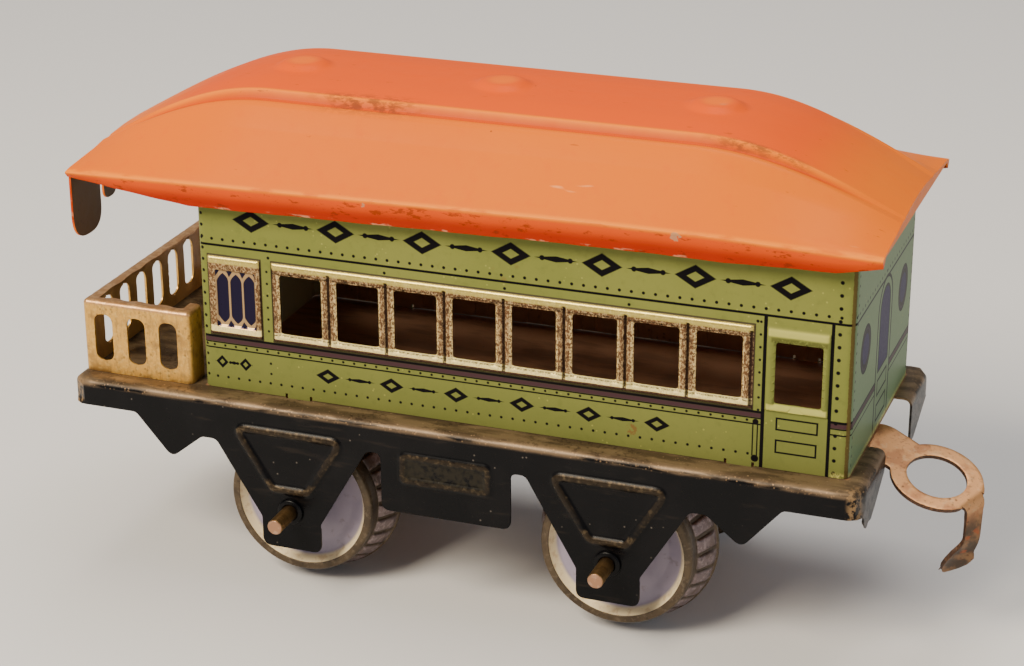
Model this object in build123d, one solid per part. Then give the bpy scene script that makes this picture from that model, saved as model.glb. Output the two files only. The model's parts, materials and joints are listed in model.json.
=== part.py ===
"""Four-wheel tinplate observation coach, a pressed and printed toy railway vehicle.

Axes: +X towards the coupler, +Y to the left, +Z up. The origin lies on the ground,
midway between the two axles. Lengths are in millimetres. Outlines of the body, roof
and underframe give heights above the deck, and are lifted by deck_top when built.
"""
from build123d import *
import math
import os

# ---- Sheet and running gear ----
sheet = 0.4
axle_radius = 1.35
axle_length = 68.4
axle_x = 28.6
flange_radius = 15.6
axle_to_deck = 19.2
deck_top = flange_radius + axle_to_deck
running_gap = 0.06
flute_count = 28
root_share = 0.4
flute_slope_share = 0.1
tread_root_radius = 13.2
tread_crest_radius = 14.1
rim_radius = 13.3
wheel_back = 15.0
tread_start = 15.8
rim_start = 20.4
rim_face = 23.3
web_depth = 2.3

tread_wall = 0.7
flange_rounding = 0.3
hub_radius = 2.6
hub_length = 1.8
rim_width = 2.6
rim_lip = 0.8
face_thickness = 0.5
boss_rise = 0.9
boss_foot = 0.4
boss_slope = 0.7
dish_slope = 0.2
rim_inside = (1.0, 0.6)
rim_shoulder = (0.3, 0.2)
rim_edge_drop = 0.7
rim_crease = 0.3
axle_chamfer = 0.2

# ---- Underframe ----
deck_length = 140.0
deck_width = 55.0
fold_radius = 1.4
corner_radius = 2.4
plate_depth = 26.4
apron_depth = 4.8
notch_right = -9.2
notch_left = 12.2
slot_x = (-28.4, 49.0)
slot_length = 4.6
slot_width = 0.7
collar_radius = 2.3
collar_length = 1.0
collar_stand = 0.3
bead_slope = 30
plate_bead_top = (10.4, -4.0)
plate_bead_bottom = (3.5, -16.1)
plate_bead = (1.5, 0.5)
box_bead_half = 8.0
box_bead_z = (-10.4, -5.0)
box_bead = (1.1, 0.4)
long_flap_depth = 8.3
long_flap_run = 3.0
long_flap_end = 25.0
outline_rounding = 1.1

# ---- Body ----
body_rear = -46.2
body_front = 66.8
body_width = 46.0
body_top = 38.3
body_corner = 1.3
tab_length = 4.1
tab_depth = 1.6
window_bottom = 11.75
window_top = 22.3
window_width = 7.55
window_pitch = 10.37
first_window = -27.3
window_count = 8
door_window_x = (54.4, 62.0)
frame_bottom = 10.1
frame_top = 24.45
frame_height = 0.6
lead_window_x = (-44.4, -34.6)
strip_x = (-32.6, 50.9)
door_frame_x = (52.9, 63.1)
frame_rounding = 0.3
gable_half = 22.4
gable_lift = 1.0
gable_shoulder = (1.2, 2.2)
gable_crown_inset = 1.5

# ---- Roof ----
roof_rear = -68.7
roof_front = 71.1
roof_width = 53.2
eave_rounding = 0.7
ridge_half = 13.2
ridge_half_end = 10.0
ridge_height = 51.6
ridge_crown = 0.7
step_width = 0.8
shoulder_half = 16.0
shoulder_share = 0.86
step_share = 0.90
crown_share = 0.75
roof_station_count = 19
roof_drop = 1.3 * sheet
inner_eave_gap = 0.2
rear_rise = 32.7
front_rise = 33.1
rear_end_height = 39.3
front_end_height = 40.4
eave_rear = 37.5
eave_mid = 39.5
eave_front = 38.8
eave_mid_x = 25.0
eave_front_run = 25.0
lip_rear = 1.2
lip_mid = 4.3
lip_front = 3.2
body_gap_rise = (30.0, 0.5)
end_flange_depth = 2.0
end_flange_reach = 2.6
boss_x = (-36.0, 0.5, 37.5)
boss_radius = 4.6
boss_height = 0.9
boss_sink = 0.2
boss_top_share = 0.55
lobe_y = 20.6
lobe_half = 4.8
lobe_bottom = 24.4
scallop_pitch = 6.2
scallop_half = 2.2
scallop_bottom = 28.6
valance_band = 32.5
valance_inset = 0.4

# ---- Platform railing ----
rail_rear = -69.0
rail_front = -48.3
rail_width = 47.2
rail_height = 13.3
rail_lip = 2.2
rail_return = 4.6
rail_corner = 0.8
rail_bend_gain = 0.05
rail_hole_width = 3.5
rail_hole_low = 2.3
rail_hole_high = 10.9
side_hole_x = (-65.1, -58.75, -52.6)
end_hole_pitch = 6.13
end_hole_count = 6

# ---- Coupler ----
pivot_x = 59.0
rivet_radius = 1.3
strip_thickness = 0.7
strip_width = 8.4
strip_gap = 0.3
bend_distance = 7.5
eye_distance = 20.3
eye_radius = 5.0
ring_radius = 7.8
coupler_swing = -20.0
coupler_pitch = 17.0
coupler_roll = 9.0
neck_start = 1.5
hook_width = 2.8
hook_rounding = 1.6
ring_edge_drop = -5.2
hook_shoulder = (1.9, -0.7)
hook_bend = (26.9, -13.0)
hook_tip = (22.6, -20.3)
rivet_head_radius = 2.4
rivet_head_height = 0.8
rivet_foot_height = 0.7
rivet_rounding = 0.5

# ---- Working allowances ----
cutter = 200.0
overcut = 1.0
hairline = 0.01


def box_between(low, high):
    """A box from its lowest to its highest corner."""
    size = [b - a for a, b in zip(low, high)]
    middle = [(a + b) / 2 for a, b in zip(low, high)]
    return Pos(*middle) * Box(*size)


def lifted_face(plane, points, radius=0.0):
    """A face through (across, height above the deck) points, its corners rounded."""
    face = make_face(Polyline([(a, z + deck_top) for a, z in points], close=True))
    if radius:
        face = fillet(face.vertices(), radius)
    return plane * face


def mirrored(points):
    """Half an outline, joined to its mirror image about its second axis."""
    return points + [(-a, b) for a, b in reversed(points)]


def both_sides(solid):
    return solid + mirror(solid, Plane.XZ)


def cross_cylinder(radius, length):
    """A cylinder along Y."""
    return Rot(90, 0, 0) * Cylinder(radius, length)


# ---- Underframe ----
def tray_block(grow, top):
    """The underframe's rounded outer block (grow = sheet) or its inside (grow = 0)."""
    block = Box(
        deck_length - 2 * sheet + 2 * grow,
        deck_width - 2 * sheet + 2 * grow,
        2 * plate_depth,
        align=(Align.CENTER, Align.CENTER, Align.MAX),
    )
    block = fillet(block.edges().filter_by(Axis.Z), corner_radius - sheet + grow)
    rim = block.faces().sort_by(Axis.Z)[-1].edges()
    block = fillet(rim, fold_radius - sheet + grow)
    return Pos(0, 0, top) * block


def frame_profile():
    """The outline of both side plates: end skirts, axle plates and the middle box."""
    past_end = deck_length / 2 + long_flap_run
    half = [
        (11.6, -16.0),
        (11.6, -5.6),
        (14.2, -5.6),
        (23.1, -21.0),
        (23.1, -plate_depth),
        (34.1, -plate_depth),
        (34.1, -21.0),
        (42.3, -7.6),
        (45.0, -7.6),
        (51.0, -12.4),
        (57.6, -apron_depth),
        (past_end, -apron_depth),
        (past_end, 3.0),
    ]
    return lifted_face(Plane.XZ, mirrored(half), outline_rounding)


def ridge_bead(points, bead_width, height):
    """A pressed bead that follows a closed outline on the left side plate."""
    plane = Plane(origin=(0, deck_width / 2, deck_top), x_dir=(-1, 0, 0), z_dir=(0, 1, 0))
    outer = make_face(Polyline(points, close=True))
    inner = offset(outer, -bead_width, kind=Kind.INTERSECTION)
    solid = extrude(plane * outer, height, taper=bead_slope)
    hollow = extrude(plane * inner, height, taper=-bead_slope)
    return solid - hollow


def axle_plate_bead(centre):
    top_half, top_z = plate_bead_top
    bottom_half, bottom_z = plate_bead_bottom
    points = [
        (centre - top_half, top_z),
        (centre + top_half, top_z),
        (centre + bottom_half, bottom_z),
        (centre - bottom_half, bottom_z),
    ]
    return ridge_bead(points, *plate_bead)


def middle_box_bead():
    low, high = box_bead_z
    return ridge_bead(mirrored([(box_bead_half, low), (box_bead_half, high)]), *box_bead)


def long_flap():
    """The left flap of the coupler end, deeper beside the notch."""
    points = [
        (notch_left, -fold_radius),
        (notch_left, -long_flap_depth),
        (notch_left + long_flap_run, -long_flap_depth),
        (long_flap_end, -apron_depth),
        (long_flap_end, -fold_radius),
    ]
    face = Pos(deck_length / 2 - sheet, 0, 0) * lifted_face(Plane.YZ, points)
    return extrude(face, sheet)


def underframe():
    tray = tray_block(sheet, deck_top) - tray_block(0, deck_top - sheet)
    tray = tray & extrude(frame_profile(), deck_width, both=True)
    notch_low = (body_front, notch_right, 0)
    tray -= box_between(notch_low, (deck_length, notch_left, deck_top + overcut))
    tray += long_flap()
    beads = axle_plate_bead(axle_x) + axle_plate_bead(-axle_x) + middle_box_bead()
    tray += both_sides(beads)
    for x in (-axle_x, axle_x):
        for side in (-1, 1):
            collar = cross_cylinder(collar_radius, collar_length)
            tray += Pos(x, side * (deck_width / 2 + collar_stand), flange_radius) * collar
        bore = cross_cylinder(axle_radius + running_gap, deck_width * 2)
        tray -= Pos(x, 0, flange_radius) * bore
    for x in slot_x:
        for side in (-1, 1):
            slot = Box(slot_length, slot_width, 4 * sheet)
            tray -= Pos(x, side * (body_width - sheet) / 2, deck_top) * slot
    return tray - Pos(pivot_x, 0, deck_top) * Cylinder(rivet_radius, 4 * sheet)


# ---- Body ----
def wall_block(inset, height):
    middle = (body_rear + body_front) / 2
    length = body_front - body_rear - 2 * inset
    block = Box(
        length,
        body_width - 2 * inset,
        height,
        align=(Align.CENTER, Align.CENTER, Align.MIN),
    )
    block = fillet(block.edges().filter_by(Axis.Z), body_corner - inset)
    return Pos(middle, 0, deck_top) * block


def side_panel(x_range, low, high, thickness):
    """A raised panel on the left wall."""
    y = body_width / 2
    low_corner = (x_range[0], y - sheet / 2, deck_top + low)
    high_corner = (x_range[1], y + thickness, deck_top + high)
    panel = box_between(low_corner, high_corner)
    return fillet(panel.faces().sort_by(Axis.Y)[-1].edges(), frame_rounding)


def window_cut(x_range):
    low_corner = (x_range[0], -body_width, deck_top + window_bottom)
    return box_between(low_corner, (x_range[1], body_width, deck_top + window_top))


def window_range(index):
    centre = first_window + index * window_pitch
    return (centre - window_width / 2, centre + window_width / 2)


def body_gable():
    """The rear wall above the eaves, closing the hollow of the roof."""
    ridge = ridge_at(body_rear) - gable_lift
    inset, drop = gable_shoulder
    half = [
        (gable_half, body_top - gable_lift),
        (gable_half, eave_at(body_rear) + gable_lift),
        (shoulder_half - inset, ridge - drop),
        (ridge_half - gable_crown_inset, ridge),
    ]
    face = lifted_face(Plane.YZ, mirrored(half))
    return extrude(Pos(body_rear, 0, 0) * face, sheet)


def printed_wrap():
    """The whole body: four walls, their raised window frames, openings and tabs."""
    shell = wall_block(0, body_top) - wall_block(sheet, body_top)
    shell += body_gable()
    panels = side_panel(strip_x, frame_bottom, frame_top, frame_height)
    panels += side_panel(lead_window_x, frame_bottom, frame_top, frame_height)
    panels += side_panel(door_frame_x, frame_bottom, frame_top, frame_height)
    shell += both_sides(panels)
    for index in range(window_count):
        shell -= window_cut(window_range(index))
    shell -= window_cut(door_window_x)
    for x in slot_x:
        for side in (-1, 1):
            tab = Box(tab_length, sheet, tab_depth + overcut)
            y = side * (body_width - sheet) / 2
            shell += Pos(x, y, deck_top + (overcut - tab_depth) / 2) * tab
    return shell


def body_walls():
    """The wrap as its two sides and two ends, divided where its corners start to bend."""
    wrap = printed_wrap()
    rear_seam = body_rear + body_corner
    front_seam = body_front - body_corner
    walls = {
        "body_rear_end": ((-cutter, -cutter), (rear_seam, cutter)),
        "body_front_end": ((front_seam, -cutter), (cutter, cutter)),
        "body_right_side": ((rear_seam, -cutter), (front_seam, 0)),
        "body_left_side": ((rear_seam, 0), (front_seam, cutter)),
    }
    return {
        name: wrap & box_between((*low, 0), (*high, cutter))
        for name, (low, high) in walls.items()
    }


# ---- Roof ----
def quarter_wave(distance, length):
    """Rises from 0 to 1 over a length, steep at first and level at the end."""
    return math.sin(math.pi / 2 * max(0.0, min(distance / length, 1.0)))


def end_shape(x):
    rear = quarter_wave(x - roof_rear, rear_rise)
    front = quarter_wave(roof_front - x, front_rise)
    return rear, front


def ridge_at(x):
    rear, front = end_shape(x)
    rear_z = rear_end_height + (ridge_height - rear_end_height) * rear
    front_z = front_end_height + (ridge_height - front_end_height) * front
    return min(rear_z, front_z)


def ridge_half_at(x):
    return ridge_half_end + (ridge_half - ridge_half_end) * min(end_shape(x))


def blend_between(x, start, end, low, high):
    share = max(0.0, min((x - start) / (end - start), 1.0))
    return low + (high - low) * share


def eave_at(x):
    if x < eave_mid_x:
        return blend_between(x, roof_rear, eave_mid_x, eave_rear, eave_mid)
    return blend_between(x, roof_front - eave_front_run, roof_front, eave_mid, eave_front)


def lip_at(x):
    if x < eave_mid_x:
        return blend_between(x, roof_rear, body_rear, lip_rear, lip_mid)
    return blend_between(x, roof_front - eave_front_run, roof_front, lip_mid, lip_front)


def roof_section(x, inset, drop, floor):
    """A cross-section of the roof, inset sideways and dropped, closed at a floor height."""
    eave = eave_at(x)
    rise = ridge_at(x) - eave
    half = ridge_half_at(x)
    shoulder = half + shoulder_half - ridge_half
    edge = roof_width / 2 - inset
    points = [
        (edge, floor),
        (edge, eave - eave_rounding - drop),
        (edge - eave_rounding, eave - drop),
        (shoulder, eave + rise * shoulder_share - drop),
        (half + step_width, eave + rise * step_share - drop),
        (half, eave + rise - drop),
        (half / 2, eave + rise + ridge_crown * crown_share - drop),
    ]
    return Pos(x, 0, 0) * lifted_face(Plane.YZ, mirrored(points))


def roof_stations(start, end):
    """Places along the roof, closer together towards its curved ends."""
    turns = [math.pi * index / roof_station_count for index in range(roof_station_count + 1)]
    shares = [(1 - math.cos(turn)) / 2 for turn in turns]
    return [start + (end - start) * share for share in shares]


def roof_body():
    outer_x = roof_stations(roof_rear, roof_front)
    outer = loft([roof_section(x, 0, 0, eave_at(x) - lip_at(x)) for x in outer_x], ruled=True)
    inner_x = roof_stations(roof_rear + sheet, roof_front - sheet)
    inner = []
    for x in inner_x:
        fold = min(sheet - lip_at(x), -eave_rounding - roof_drop - inner_eave_gap)
        inner.append(roof_section(x, sheet, roof_drop, eave_at(x) + fold))
    gap_low, gap_high = body_gap_rise
    body_gap = box_between(
        (roof_rear + sheet, -body_width / 2, deck_top + gap_low),
        (roof_front - sheet, body_width / 2, deck_top + eave_rear + gap_high),
    )
    return outer - loft(inner, ruled=True) - body_gap


def rounded_tongue(centre, half, bottom):
    """A hanging tongue with a round end, in the rear valance."""
    x_low = roof_rear
    straight_low = (x_low, centre - half, deck_top + bottom + half)
    straight_high = (x_low + sheet, centre + half, deck_top + valance_band + overcut)
    end = Rot(0, 90, 0) * Cylinder(half, sheet)
    end = Pos(x_low + sheet / 2, centre, deck_top + bottom + half) * end
    return box_between(straight_low, straight_high) + end


def valance():
    half = lobe_y + lobe_half
    low = (roof_rear, -half, deck_top + valance_band)
    band = box_between(low, (roof_rear + sheet, half, deck_top + eave_rear - valance_inset))
    for index in range(-2, 3):
        band += rounded_tongue(index * scallop_pitch, scallop_half, scallop_bottom)
    for side in (-1, 1):
        band += rounded_tongue(side * lobe_y, lobe_half, lobe_bottom)
    return band


def roof():
    solid = roof_body() + valance()
    flange_bottom = deck_top + front_end_height - end_flange_depth
    reach = body_width / 2 + end_flange_reach
    low = (roof_front - sheet - hairline, -reach, 0)
    solid -= box_between(low, (roof_front + overcut, reach, flange_bottom))
    for x in boss_x:
        foot = deck_top + ridge_at(x) + ridge_crown * crown_share - boss_sink
        boss = Cone(boss_radius, boss_radius * boss_top_share, boss_height + boss_sink)
        solid += Pos(x, 0, foot + (boss_height + boss_sink) / 2) * boss
    return solid


# ---- Platform railing ----
def railing_block(inset, low, high):
    middle = (rail_rear + rail_front) / 2
    block = Box(
        rail_front - rail_rear - 2 * inset,
        rail_width - 2 * inset,
        high - low,
        align=(Align.CENTER, Align.CENTER, Align.MIN),
    )
    if inset <= sheet:
        block = fillet(block.edges().filter_by(Axis.Z), rail_corner - inset + rail_bend_gain)
    return Pos(middle, 0, deck_top + low) * block


def slot_hole(centre, direction, depth):
    """A cutter for an upright slot with round ends, running along a direction."""
    plane = Plane(origin=centre, x_dir=(0, 0, 1), z_dir=direction)
    outline = SlotOverall(rail_hole_high - rail_hole_low, rail_hole_width)
    return extrude(plane * outline, depth, both=True)


def railing():
    walls = railing_block(0, 0, rail_height) - railing_block(sheet, 0, rail_height - sheet)
    inner_half = rail_width / 2 - rail_return
    opening_low = (rail_rear + rail_lip, -rail_width / 2 + rail_lip, deck_top + rail_height - overcut)
    opening_high = (rail_front + overcut, rail_width / 2 - rail_lip, deck_top + rail_height + overcut)
    walls -= box_between(opening_low, opening_high)
    gate_low = (rail_front - overcut, -inner_half, deck_top - overcut)
    walls -= box_between(gate_low, (rail_front + overcut, inner_half, deck_top + rail_height + overcut))
    hole_z = deck_top + (rail_hole_low + rail_hole_high) / 2
    for x in side_hole_x:
        walls -= slot_hole((x, 0, hole_z), (0, 1, 0), rail_width)
    for index in range(end_hole_count):
        y = (index - (end_hole_count - 1) / 2) * end_hole_pitch
        walls -= slot_hole((rail_rear, y, hole_z), (1, 0, 0), 2)
    return walls


# ---- Coupler ----
def coupler_frame():
    """The place of the coupler's flat end: its pivot, under the deck."""
    top = deck_top - sheet - strip_gap
    return Pos(pivot_x, 0, top - strip_thickness / 2) * Rot(0, 0, coupler_swing)


def front_frame():
    """The tilted frame of the coupler's eye, seated at the bend."""
    return Pos(bend_distance, 0, 0) * Rot(0, coupler_pitch, 0) * Rot(coupler_roll, 0, 0)


def strip_end():
    return Plane.YZ * Rectangle(strip_width, strip_thickness)


def coupler_tail():
    tail = Pos(bend_distance / 2, 0, 0) * Box(bend_distance, strip_width, strip_thickness)
    tail += Cylinder(strip_width / 2, strip_thickness)
    return tail - Cylinder(rivet_radius + running_gap, 2 * strip_thickness)


def coupler_eye():
    along = (eye_distance - bend_distance) / math.cos(math.radians(coupler_pitch))
    neck_end = along - eye_radius
    neck = Box(neck_end - neck_start, strip_width, strip_thickness)
    eye = Pos((neck_start + neck_end) / 2, 0, 0) * neck
    eye += Pos(along, 0, 0) * Cylinder(ring_radius, strip_thickness)
    eye -= Pos(along, 0, 0) * Cylinder(eye_radius, 2 * strip_thickness)
    bend_start = Pos(bend_distance, 0, 0) * strip_end()
    bend_end = front_frame() * (Pos(neck_start, 0, 0) * strip_end())
    return front_frame() * eye + loft([bend_start, bend_end])


def coupler_hook():
    """The hook, bent down from the ring's far end and curled back under it."""
    ring_end = (eye_distance + ring_radius - hook_rounding, ring_edge_drop)
    shoulder = (ring_end[0] + hook_shoulder[0], ring_end[1] + hook_shoulder[1])
    path = FilletPolyline(ring_end, shoulder, hook_bend, hook_tip, radius=hook_rounding)
    ribbon = Plane.XZ * trace(path, strip_thickness)
    return extrude(ribbon, hook_width / 2, both=True)


def coupler():
    return coupler_frame() * (coupler_tail() + coupler_eye() + coupler_hook())


def coupler_rivet():
    strip_bottom = deck_top - sheet - 2 * strip_gap - strip_thickness
    shank_length = deck_top - strip_bottom
    shank = Cylinder(rivet_radius, shank_length)
    shank = Pos(pivot_x, 0, strip_bottom + shank_length / 2) * shank
    head = Cylinder(rivet_head_radius, rivet_head_height)
    head = Pos(pivot_x, 0, deck_top + rivet_head_height / 2) * head
    head = fillet(head.edges().sort_by(Axis.Z)[-1], rivet_rounding)
    foot = Cylinder(rivet_head_radius, rivet_foot_height)
    foot = Pos(pivot_x, 0, strip_bottom - rivet_foot_height / 2) * foot
    return shank + head + foot


# ---- Wheels and axles ----
def fluted_ring():
    """The crimped tread, a ring of straight flutes between root and crest radii."""
    points = []
    flute = [
        (0, tread_root_radius),
        (root_share, tread_root_radius),
        (root_share + flute_slope_share, tread_crest_radius),
        (1 - flute_slope_share, tread_crest_radius),
    ]
    for index in range(flute_count):
        for share, radius in flute:
            angle = 2 * math.pi * (index + share) / flute_count
            points.append((radius * math.cos(angle), radius * math.sin(angle)))
    ring = extrude(make_face(Polyline(points, close=True)), rim_start - tread_start)
    return Pos(0, 0, tread_start) * ring


def wheel_tread():
    """Flange, web and fluted tread, built along Z with the outside of the wheel at the top."""
    flange = Cylinder(flange_radius, tread_start - wheel_back)
    flange = Pos(0, 0, (wheel_back + tread_start) / 2) * flange
    flange = fillet(flange.edges(), flange_rounding)
    tread = flange + fluted_ring()
    hollow = Cylinder(tread_root_radius - tread_wall, rim_start - wheel_back)
    tread -= Pos(0, 0, (rim_start + wheel_back) / 2 + sheet) * hollow
    hub = Pos(0, 0, wheel_back + hub_length / 2) * Cylinder(hub_radius, hub_length)
    return tread + hub - Cylinder(axle_radius, cutter)


def wheel_face():
    """The dished face and its rolled rim, built along Z like the tread."""
    web = rim_face - web_depth
    inner = rim_radius - rim_width
    skirt = rim_radius - face_thickness
    boss_base = hub_radius + boss_foot
    inside_width, inside_drop = rim_inside
    shoulder_width, shoulder_drop = rim_shoulder
    outline = [
        (axle_radius, web - face_thickness),
        (inner + dish_slope, web - face_thickness),
        (inner + inside_width, rim_face - inside_drop),
        (skirt, rim_face - inside_drop),
        (skirt, rim_start),
        (rim_radius, rim_start),
        (rim_radius, rim_face - rim_edge_drop),
        (rim_radius - shoulder_width, rim_face - shoulder_drop),
        (rim_radius - rim_lip, rim_face),
        (inner + rim_lip, rim_face),
        (inner + face_thickness, rim_face - rim_crease),
        (inner - dish_slope, web),
        (boss_base, web),
        (boss_base - boss_slope, web + boss_rise),
        (axle_radius, web + boss_rise),
    ]
    face = Plane.XZ * make_face(Polyline(outline, close=True))
    return revolve(face, Axis.Z)


def axle():
    shaft = Cylinder(axle_radius, axle_length)
    shaft = chamfer(shaft.edges(), axle_chamfer)
    return Rot(90, 0, 0) * shaft


def wheel_place(x, side):
    """Turns a wheel built along Z outwards to the left (+1) or right (-1) of an axle."""
    return Pos(x, 0, flange_radius) * Rot(-90 * side, 0, 0)


def all_parts():
    parts = {
        "underframe": underframe(),
        **body_walls(),
        "roof": roof(),
        "platform_railing": railing(),
        "coupler": coupler(),
        "coupler_rivet": coupler_rivet(),
    }
    for end, x in (("front", axle_x), ("rear", -axle_x)):
        parts[f"{end}_axle"] = Pos(x, 0, flange_radius) * axle()
        for name, side in (("left", 1), ("right", -1)):
            parts[f"{end}_{name}_wheel_tread"] = wheel_place(x, side) * wheel_tread()
            parts[f"{end}_{name}_wheel_face"] = wheel_place(x, side) * wheel_face()
    return parts


os.makedirs("parts", exist_ok=True)
for node, solid in all_parts().items():
    export_step(solid, f"parts/{node}.step")
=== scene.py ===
"""Looks of a four-wheel tinplate observation coach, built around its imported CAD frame.

The sheet pieces are made as the real ones are: a flat blank is cut, pressed and folded.
Lengths here are millimetres until a mesh is made. Heights above the deck are called v.
"""

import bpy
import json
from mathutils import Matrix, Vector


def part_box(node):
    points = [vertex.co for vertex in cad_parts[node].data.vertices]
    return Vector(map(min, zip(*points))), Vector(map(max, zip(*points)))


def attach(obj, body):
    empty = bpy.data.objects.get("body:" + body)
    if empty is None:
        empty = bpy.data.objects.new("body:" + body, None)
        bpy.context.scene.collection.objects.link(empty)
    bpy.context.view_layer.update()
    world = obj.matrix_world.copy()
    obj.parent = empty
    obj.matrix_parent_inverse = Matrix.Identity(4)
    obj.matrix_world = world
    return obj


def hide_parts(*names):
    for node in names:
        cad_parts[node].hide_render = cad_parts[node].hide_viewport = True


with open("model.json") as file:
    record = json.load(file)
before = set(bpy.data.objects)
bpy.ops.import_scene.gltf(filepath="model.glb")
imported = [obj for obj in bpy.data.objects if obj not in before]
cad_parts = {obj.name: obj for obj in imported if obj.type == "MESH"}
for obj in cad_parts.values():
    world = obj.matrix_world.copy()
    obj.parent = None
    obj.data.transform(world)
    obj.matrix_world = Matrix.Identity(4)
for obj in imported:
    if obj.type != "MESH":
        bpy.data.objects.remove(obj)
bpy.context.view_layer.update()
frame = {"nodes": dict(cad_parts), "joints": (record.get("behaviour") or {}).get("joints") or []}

import json
import math

import bmesh
import bpy
import numpy as np
from mathutils import Matrix, Vector
from mathutils.geometry import delaunay_2d_cdt

MM = 0.001


def box_mm(node):
    """Lowest and highest corners of a CAD node, in millimetres."""
    low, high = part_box(node)
    return low / MM, high / MM


def joint_place(name):
    """Where a joint's axis passes, in millimetres."""
    found = [joint for joint in frame["joints"] if joint["name"] == name]
    return Vector(found[0]["pos_m"]) / MM


# ---- Sizes taken from the frame ----
UNDER_HIGH = box_mm("underframe")[1]
DECK = UNDER_HIGH.z
DECK_HALF_LENGTH = UNDER_HIGH.x
FRONT_HIGH = box_mm("body_front_end")[1]
BODY_REAR = box_mm("body_rear_end")[0].x
BODY_FRONT = FRONT_HIGH.x
BODY_HALF = FRONT_HIGH.y
BODY_TOP = FRONT_HIGH.z - DECK
ROOF_LOW, ROOF_HIGH = box_mm("roof")
ROOF_REAR = ROOF_LOW.x
ROOF_FRONT = ROOF_HIGH.x
ROOF_HALF = ROOF_HIGH.y
RAIL_LOW, RAIL_HIGH = box_mm("platform_railing")
AXLES = {"front": joint_place("front_wheels_roll"), "rear": joint_place("rear_wheels_roll")}
AXLE_HALF = box_mm("front_axle")[1].y
SIDES = (("left", 1), ("right", -1))
PIVOT = joint_place("coupler_swing")

# ---- Sheet ----
SHEET = 0.4
DECK_HALF_WIDTH = 27.5
FOLD = 1.4
CORNER = 2.4
FOLD_GAIN = FOLD * (math.pi / 2 - 1)
EDGE_X = DECK_HALF_LENGTH - FOLD
EDGE_Y = DECK_HALF_WIDTH - FOLD
NOTCH_LEFT = 12.2
NOTCH_RIGHT = -9.2
APRON_V = -4.8

# ---- Roof ----
RIDGE = 51.6
RIDGE_REAR = 39.3
RIDGE_FRONT = 40.4
RISE_REAR = 32.7
RISE_FRONT = 33.1
RIDGE_HALF = 13.2
RIDGE_HALF_END = 10.0
EAVE_BEND = 25.0
BOSS_X = (-36.0, 0.5, 37.5)
BOSS_RISE = 0.8

# ---- Wheels: radii, and distances out from the middle along the axle ----
FLUTES = 28
PAD_START = 0.16
TREAD_ROOT = 13.45
FLUTE_RISE = 0.45
FLANGE = AXLES["front"].z
WHEEL_BACK = 15.0
TREAD_START = 15.8
RIM_START = 20.4
RIM_FACE = 23.3
RIM_RADIUS = 13.3
RIM_INSIDE = 12.8
WEB = 21.0
AXLE_HOLE = 1.36
AXLE_RADIUS = 1.35
HUB = 2.6
TREAD_INSIDE = 12.5
LIP_RADIUS = 11.78

# ---- Body openings and raised frames ----
WINDOW_V = (11.75, 22.3)
WINDOW_WIDTH = 7.55
WINDOW_PITCH = 10.37
FIRST_WINDOW = -27.3
WINDOW_COUNT = 8
DOOR_WINDOW = (54.4, 62.0, 11.6, 22.0)
STRIP_FRAME = (-32.6, 50.9, 10.1, 24.45)
LEAD_FRAME = (-44.4, -34.6, 10.1, 24.45)
LEAD_PANES = (-42.9, -35.5, 11.7, 22.1)
DOOR_FRAME = (52.9, 63.1, 10.2, 24.45)
FRAME_HEIGHT = 0.58
TAB_X = (-28.4, 49.0)
TAB_HALF = 2.05
RELIEF_HALF = 2.5
PANE_COUNT = 3


# =============================== Shape helpers ===============================
def rounded(points, radii, steps=6, closed=False):
    """A polyline whose corners are eased by curves of about the given radii."""
    points = np.array(points, float)
    count = len(points)
    radii = np.broadcast_to(radii, count)
    result = []
    for index, corner in enumerate(points):
        if not closed and index in (0, count - 1):
            result.append(corner)
            continue
        before = points[index - 1] - corner
        after = points[(index + 1) % count] - corner
        reach_before = np.linalg.norm(before)
        reach_after = np.linalg.norm(after)
        cosine = np.clip(before @ after / (reach_before * reach_after), -1, 1)
        turn = math.pi - math.acos(cosine)
        cut = min(radii[index] * math.tan(turn / 2), 0.49 * reach_before, 0.49 * reach_after)
        start = corner + before / reach_before * cut
        end = corner + after / reach_after * cut
        for share in np.linspace(0, 1, steps + 1):
            rest = 1 - share
            result.append(rest**2 * start + 2 * rest * share * corner + share**2 * end)
    return np.array(result)


def smooth(value, low, high):
    """0 below low, 1 above high, and a smooth rise between them."""
    share = np.clip((np.asarray(value, float) - low) / (high - low), 0, 1)
    return share * share * (3 - 2 * share)


def hump(gap, half):
    """1 in the middle, falling to 0 at half."""
    return 0.5 + 0.5 * np.cos(np.pi * np.clip(gap / half, 0, 1))


def edges_of(outline):
    return zip(outline, np.roll(outline, -1, axis=0))


def inside(points, outline):
    """Which points lie inside a closed outline."""
    x, y = points.T
    result = np.zeros(len(points), bool)
    for (x1, y1), (x2, y2) in edges_of(outline):
        if y1 == y2:
            continue
        crosses = (y1 > y) != (y2 > y)
        result ^= crosses & (x < (x2 - x1) * (y - y1) / (y2 - y1) + x1)
    return result


def distance_to(points, outline):
    """Each point's distance to a closed outline."""
    best = np.full(len(points), np.inf)
    for start, end in edges_of(outline):
        along = end - start
        share = np.clip((points - start) @ along / max(along @ along, 1e-12), 0, 1)
        gap = points - start - share[:, None] * along
        best = np.minimum(best, np.hypot(*gap.T))
    return best


def resampled(outline, spacing):
    result = []
    for start, end in edges_of(outline):
        count = max(1, math.ceil(np.linalg.norm(end - start) / spacing - 1e-6))
        result += [start + (end - start) * index / count for index in range(count)]
    return np.array(result)


def distances_along(route):
    """Each point's distance along a polyline."""
    return np.concatenate([[0], np.cumsum(np.hypot(*np.diff(route, axis=0).T))])


def around(radius, angles):
    """Points of a circle about the origin."""
    return np.column_stack([radius * np.cos(angles), radius * np.sin(angles)])


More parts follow.
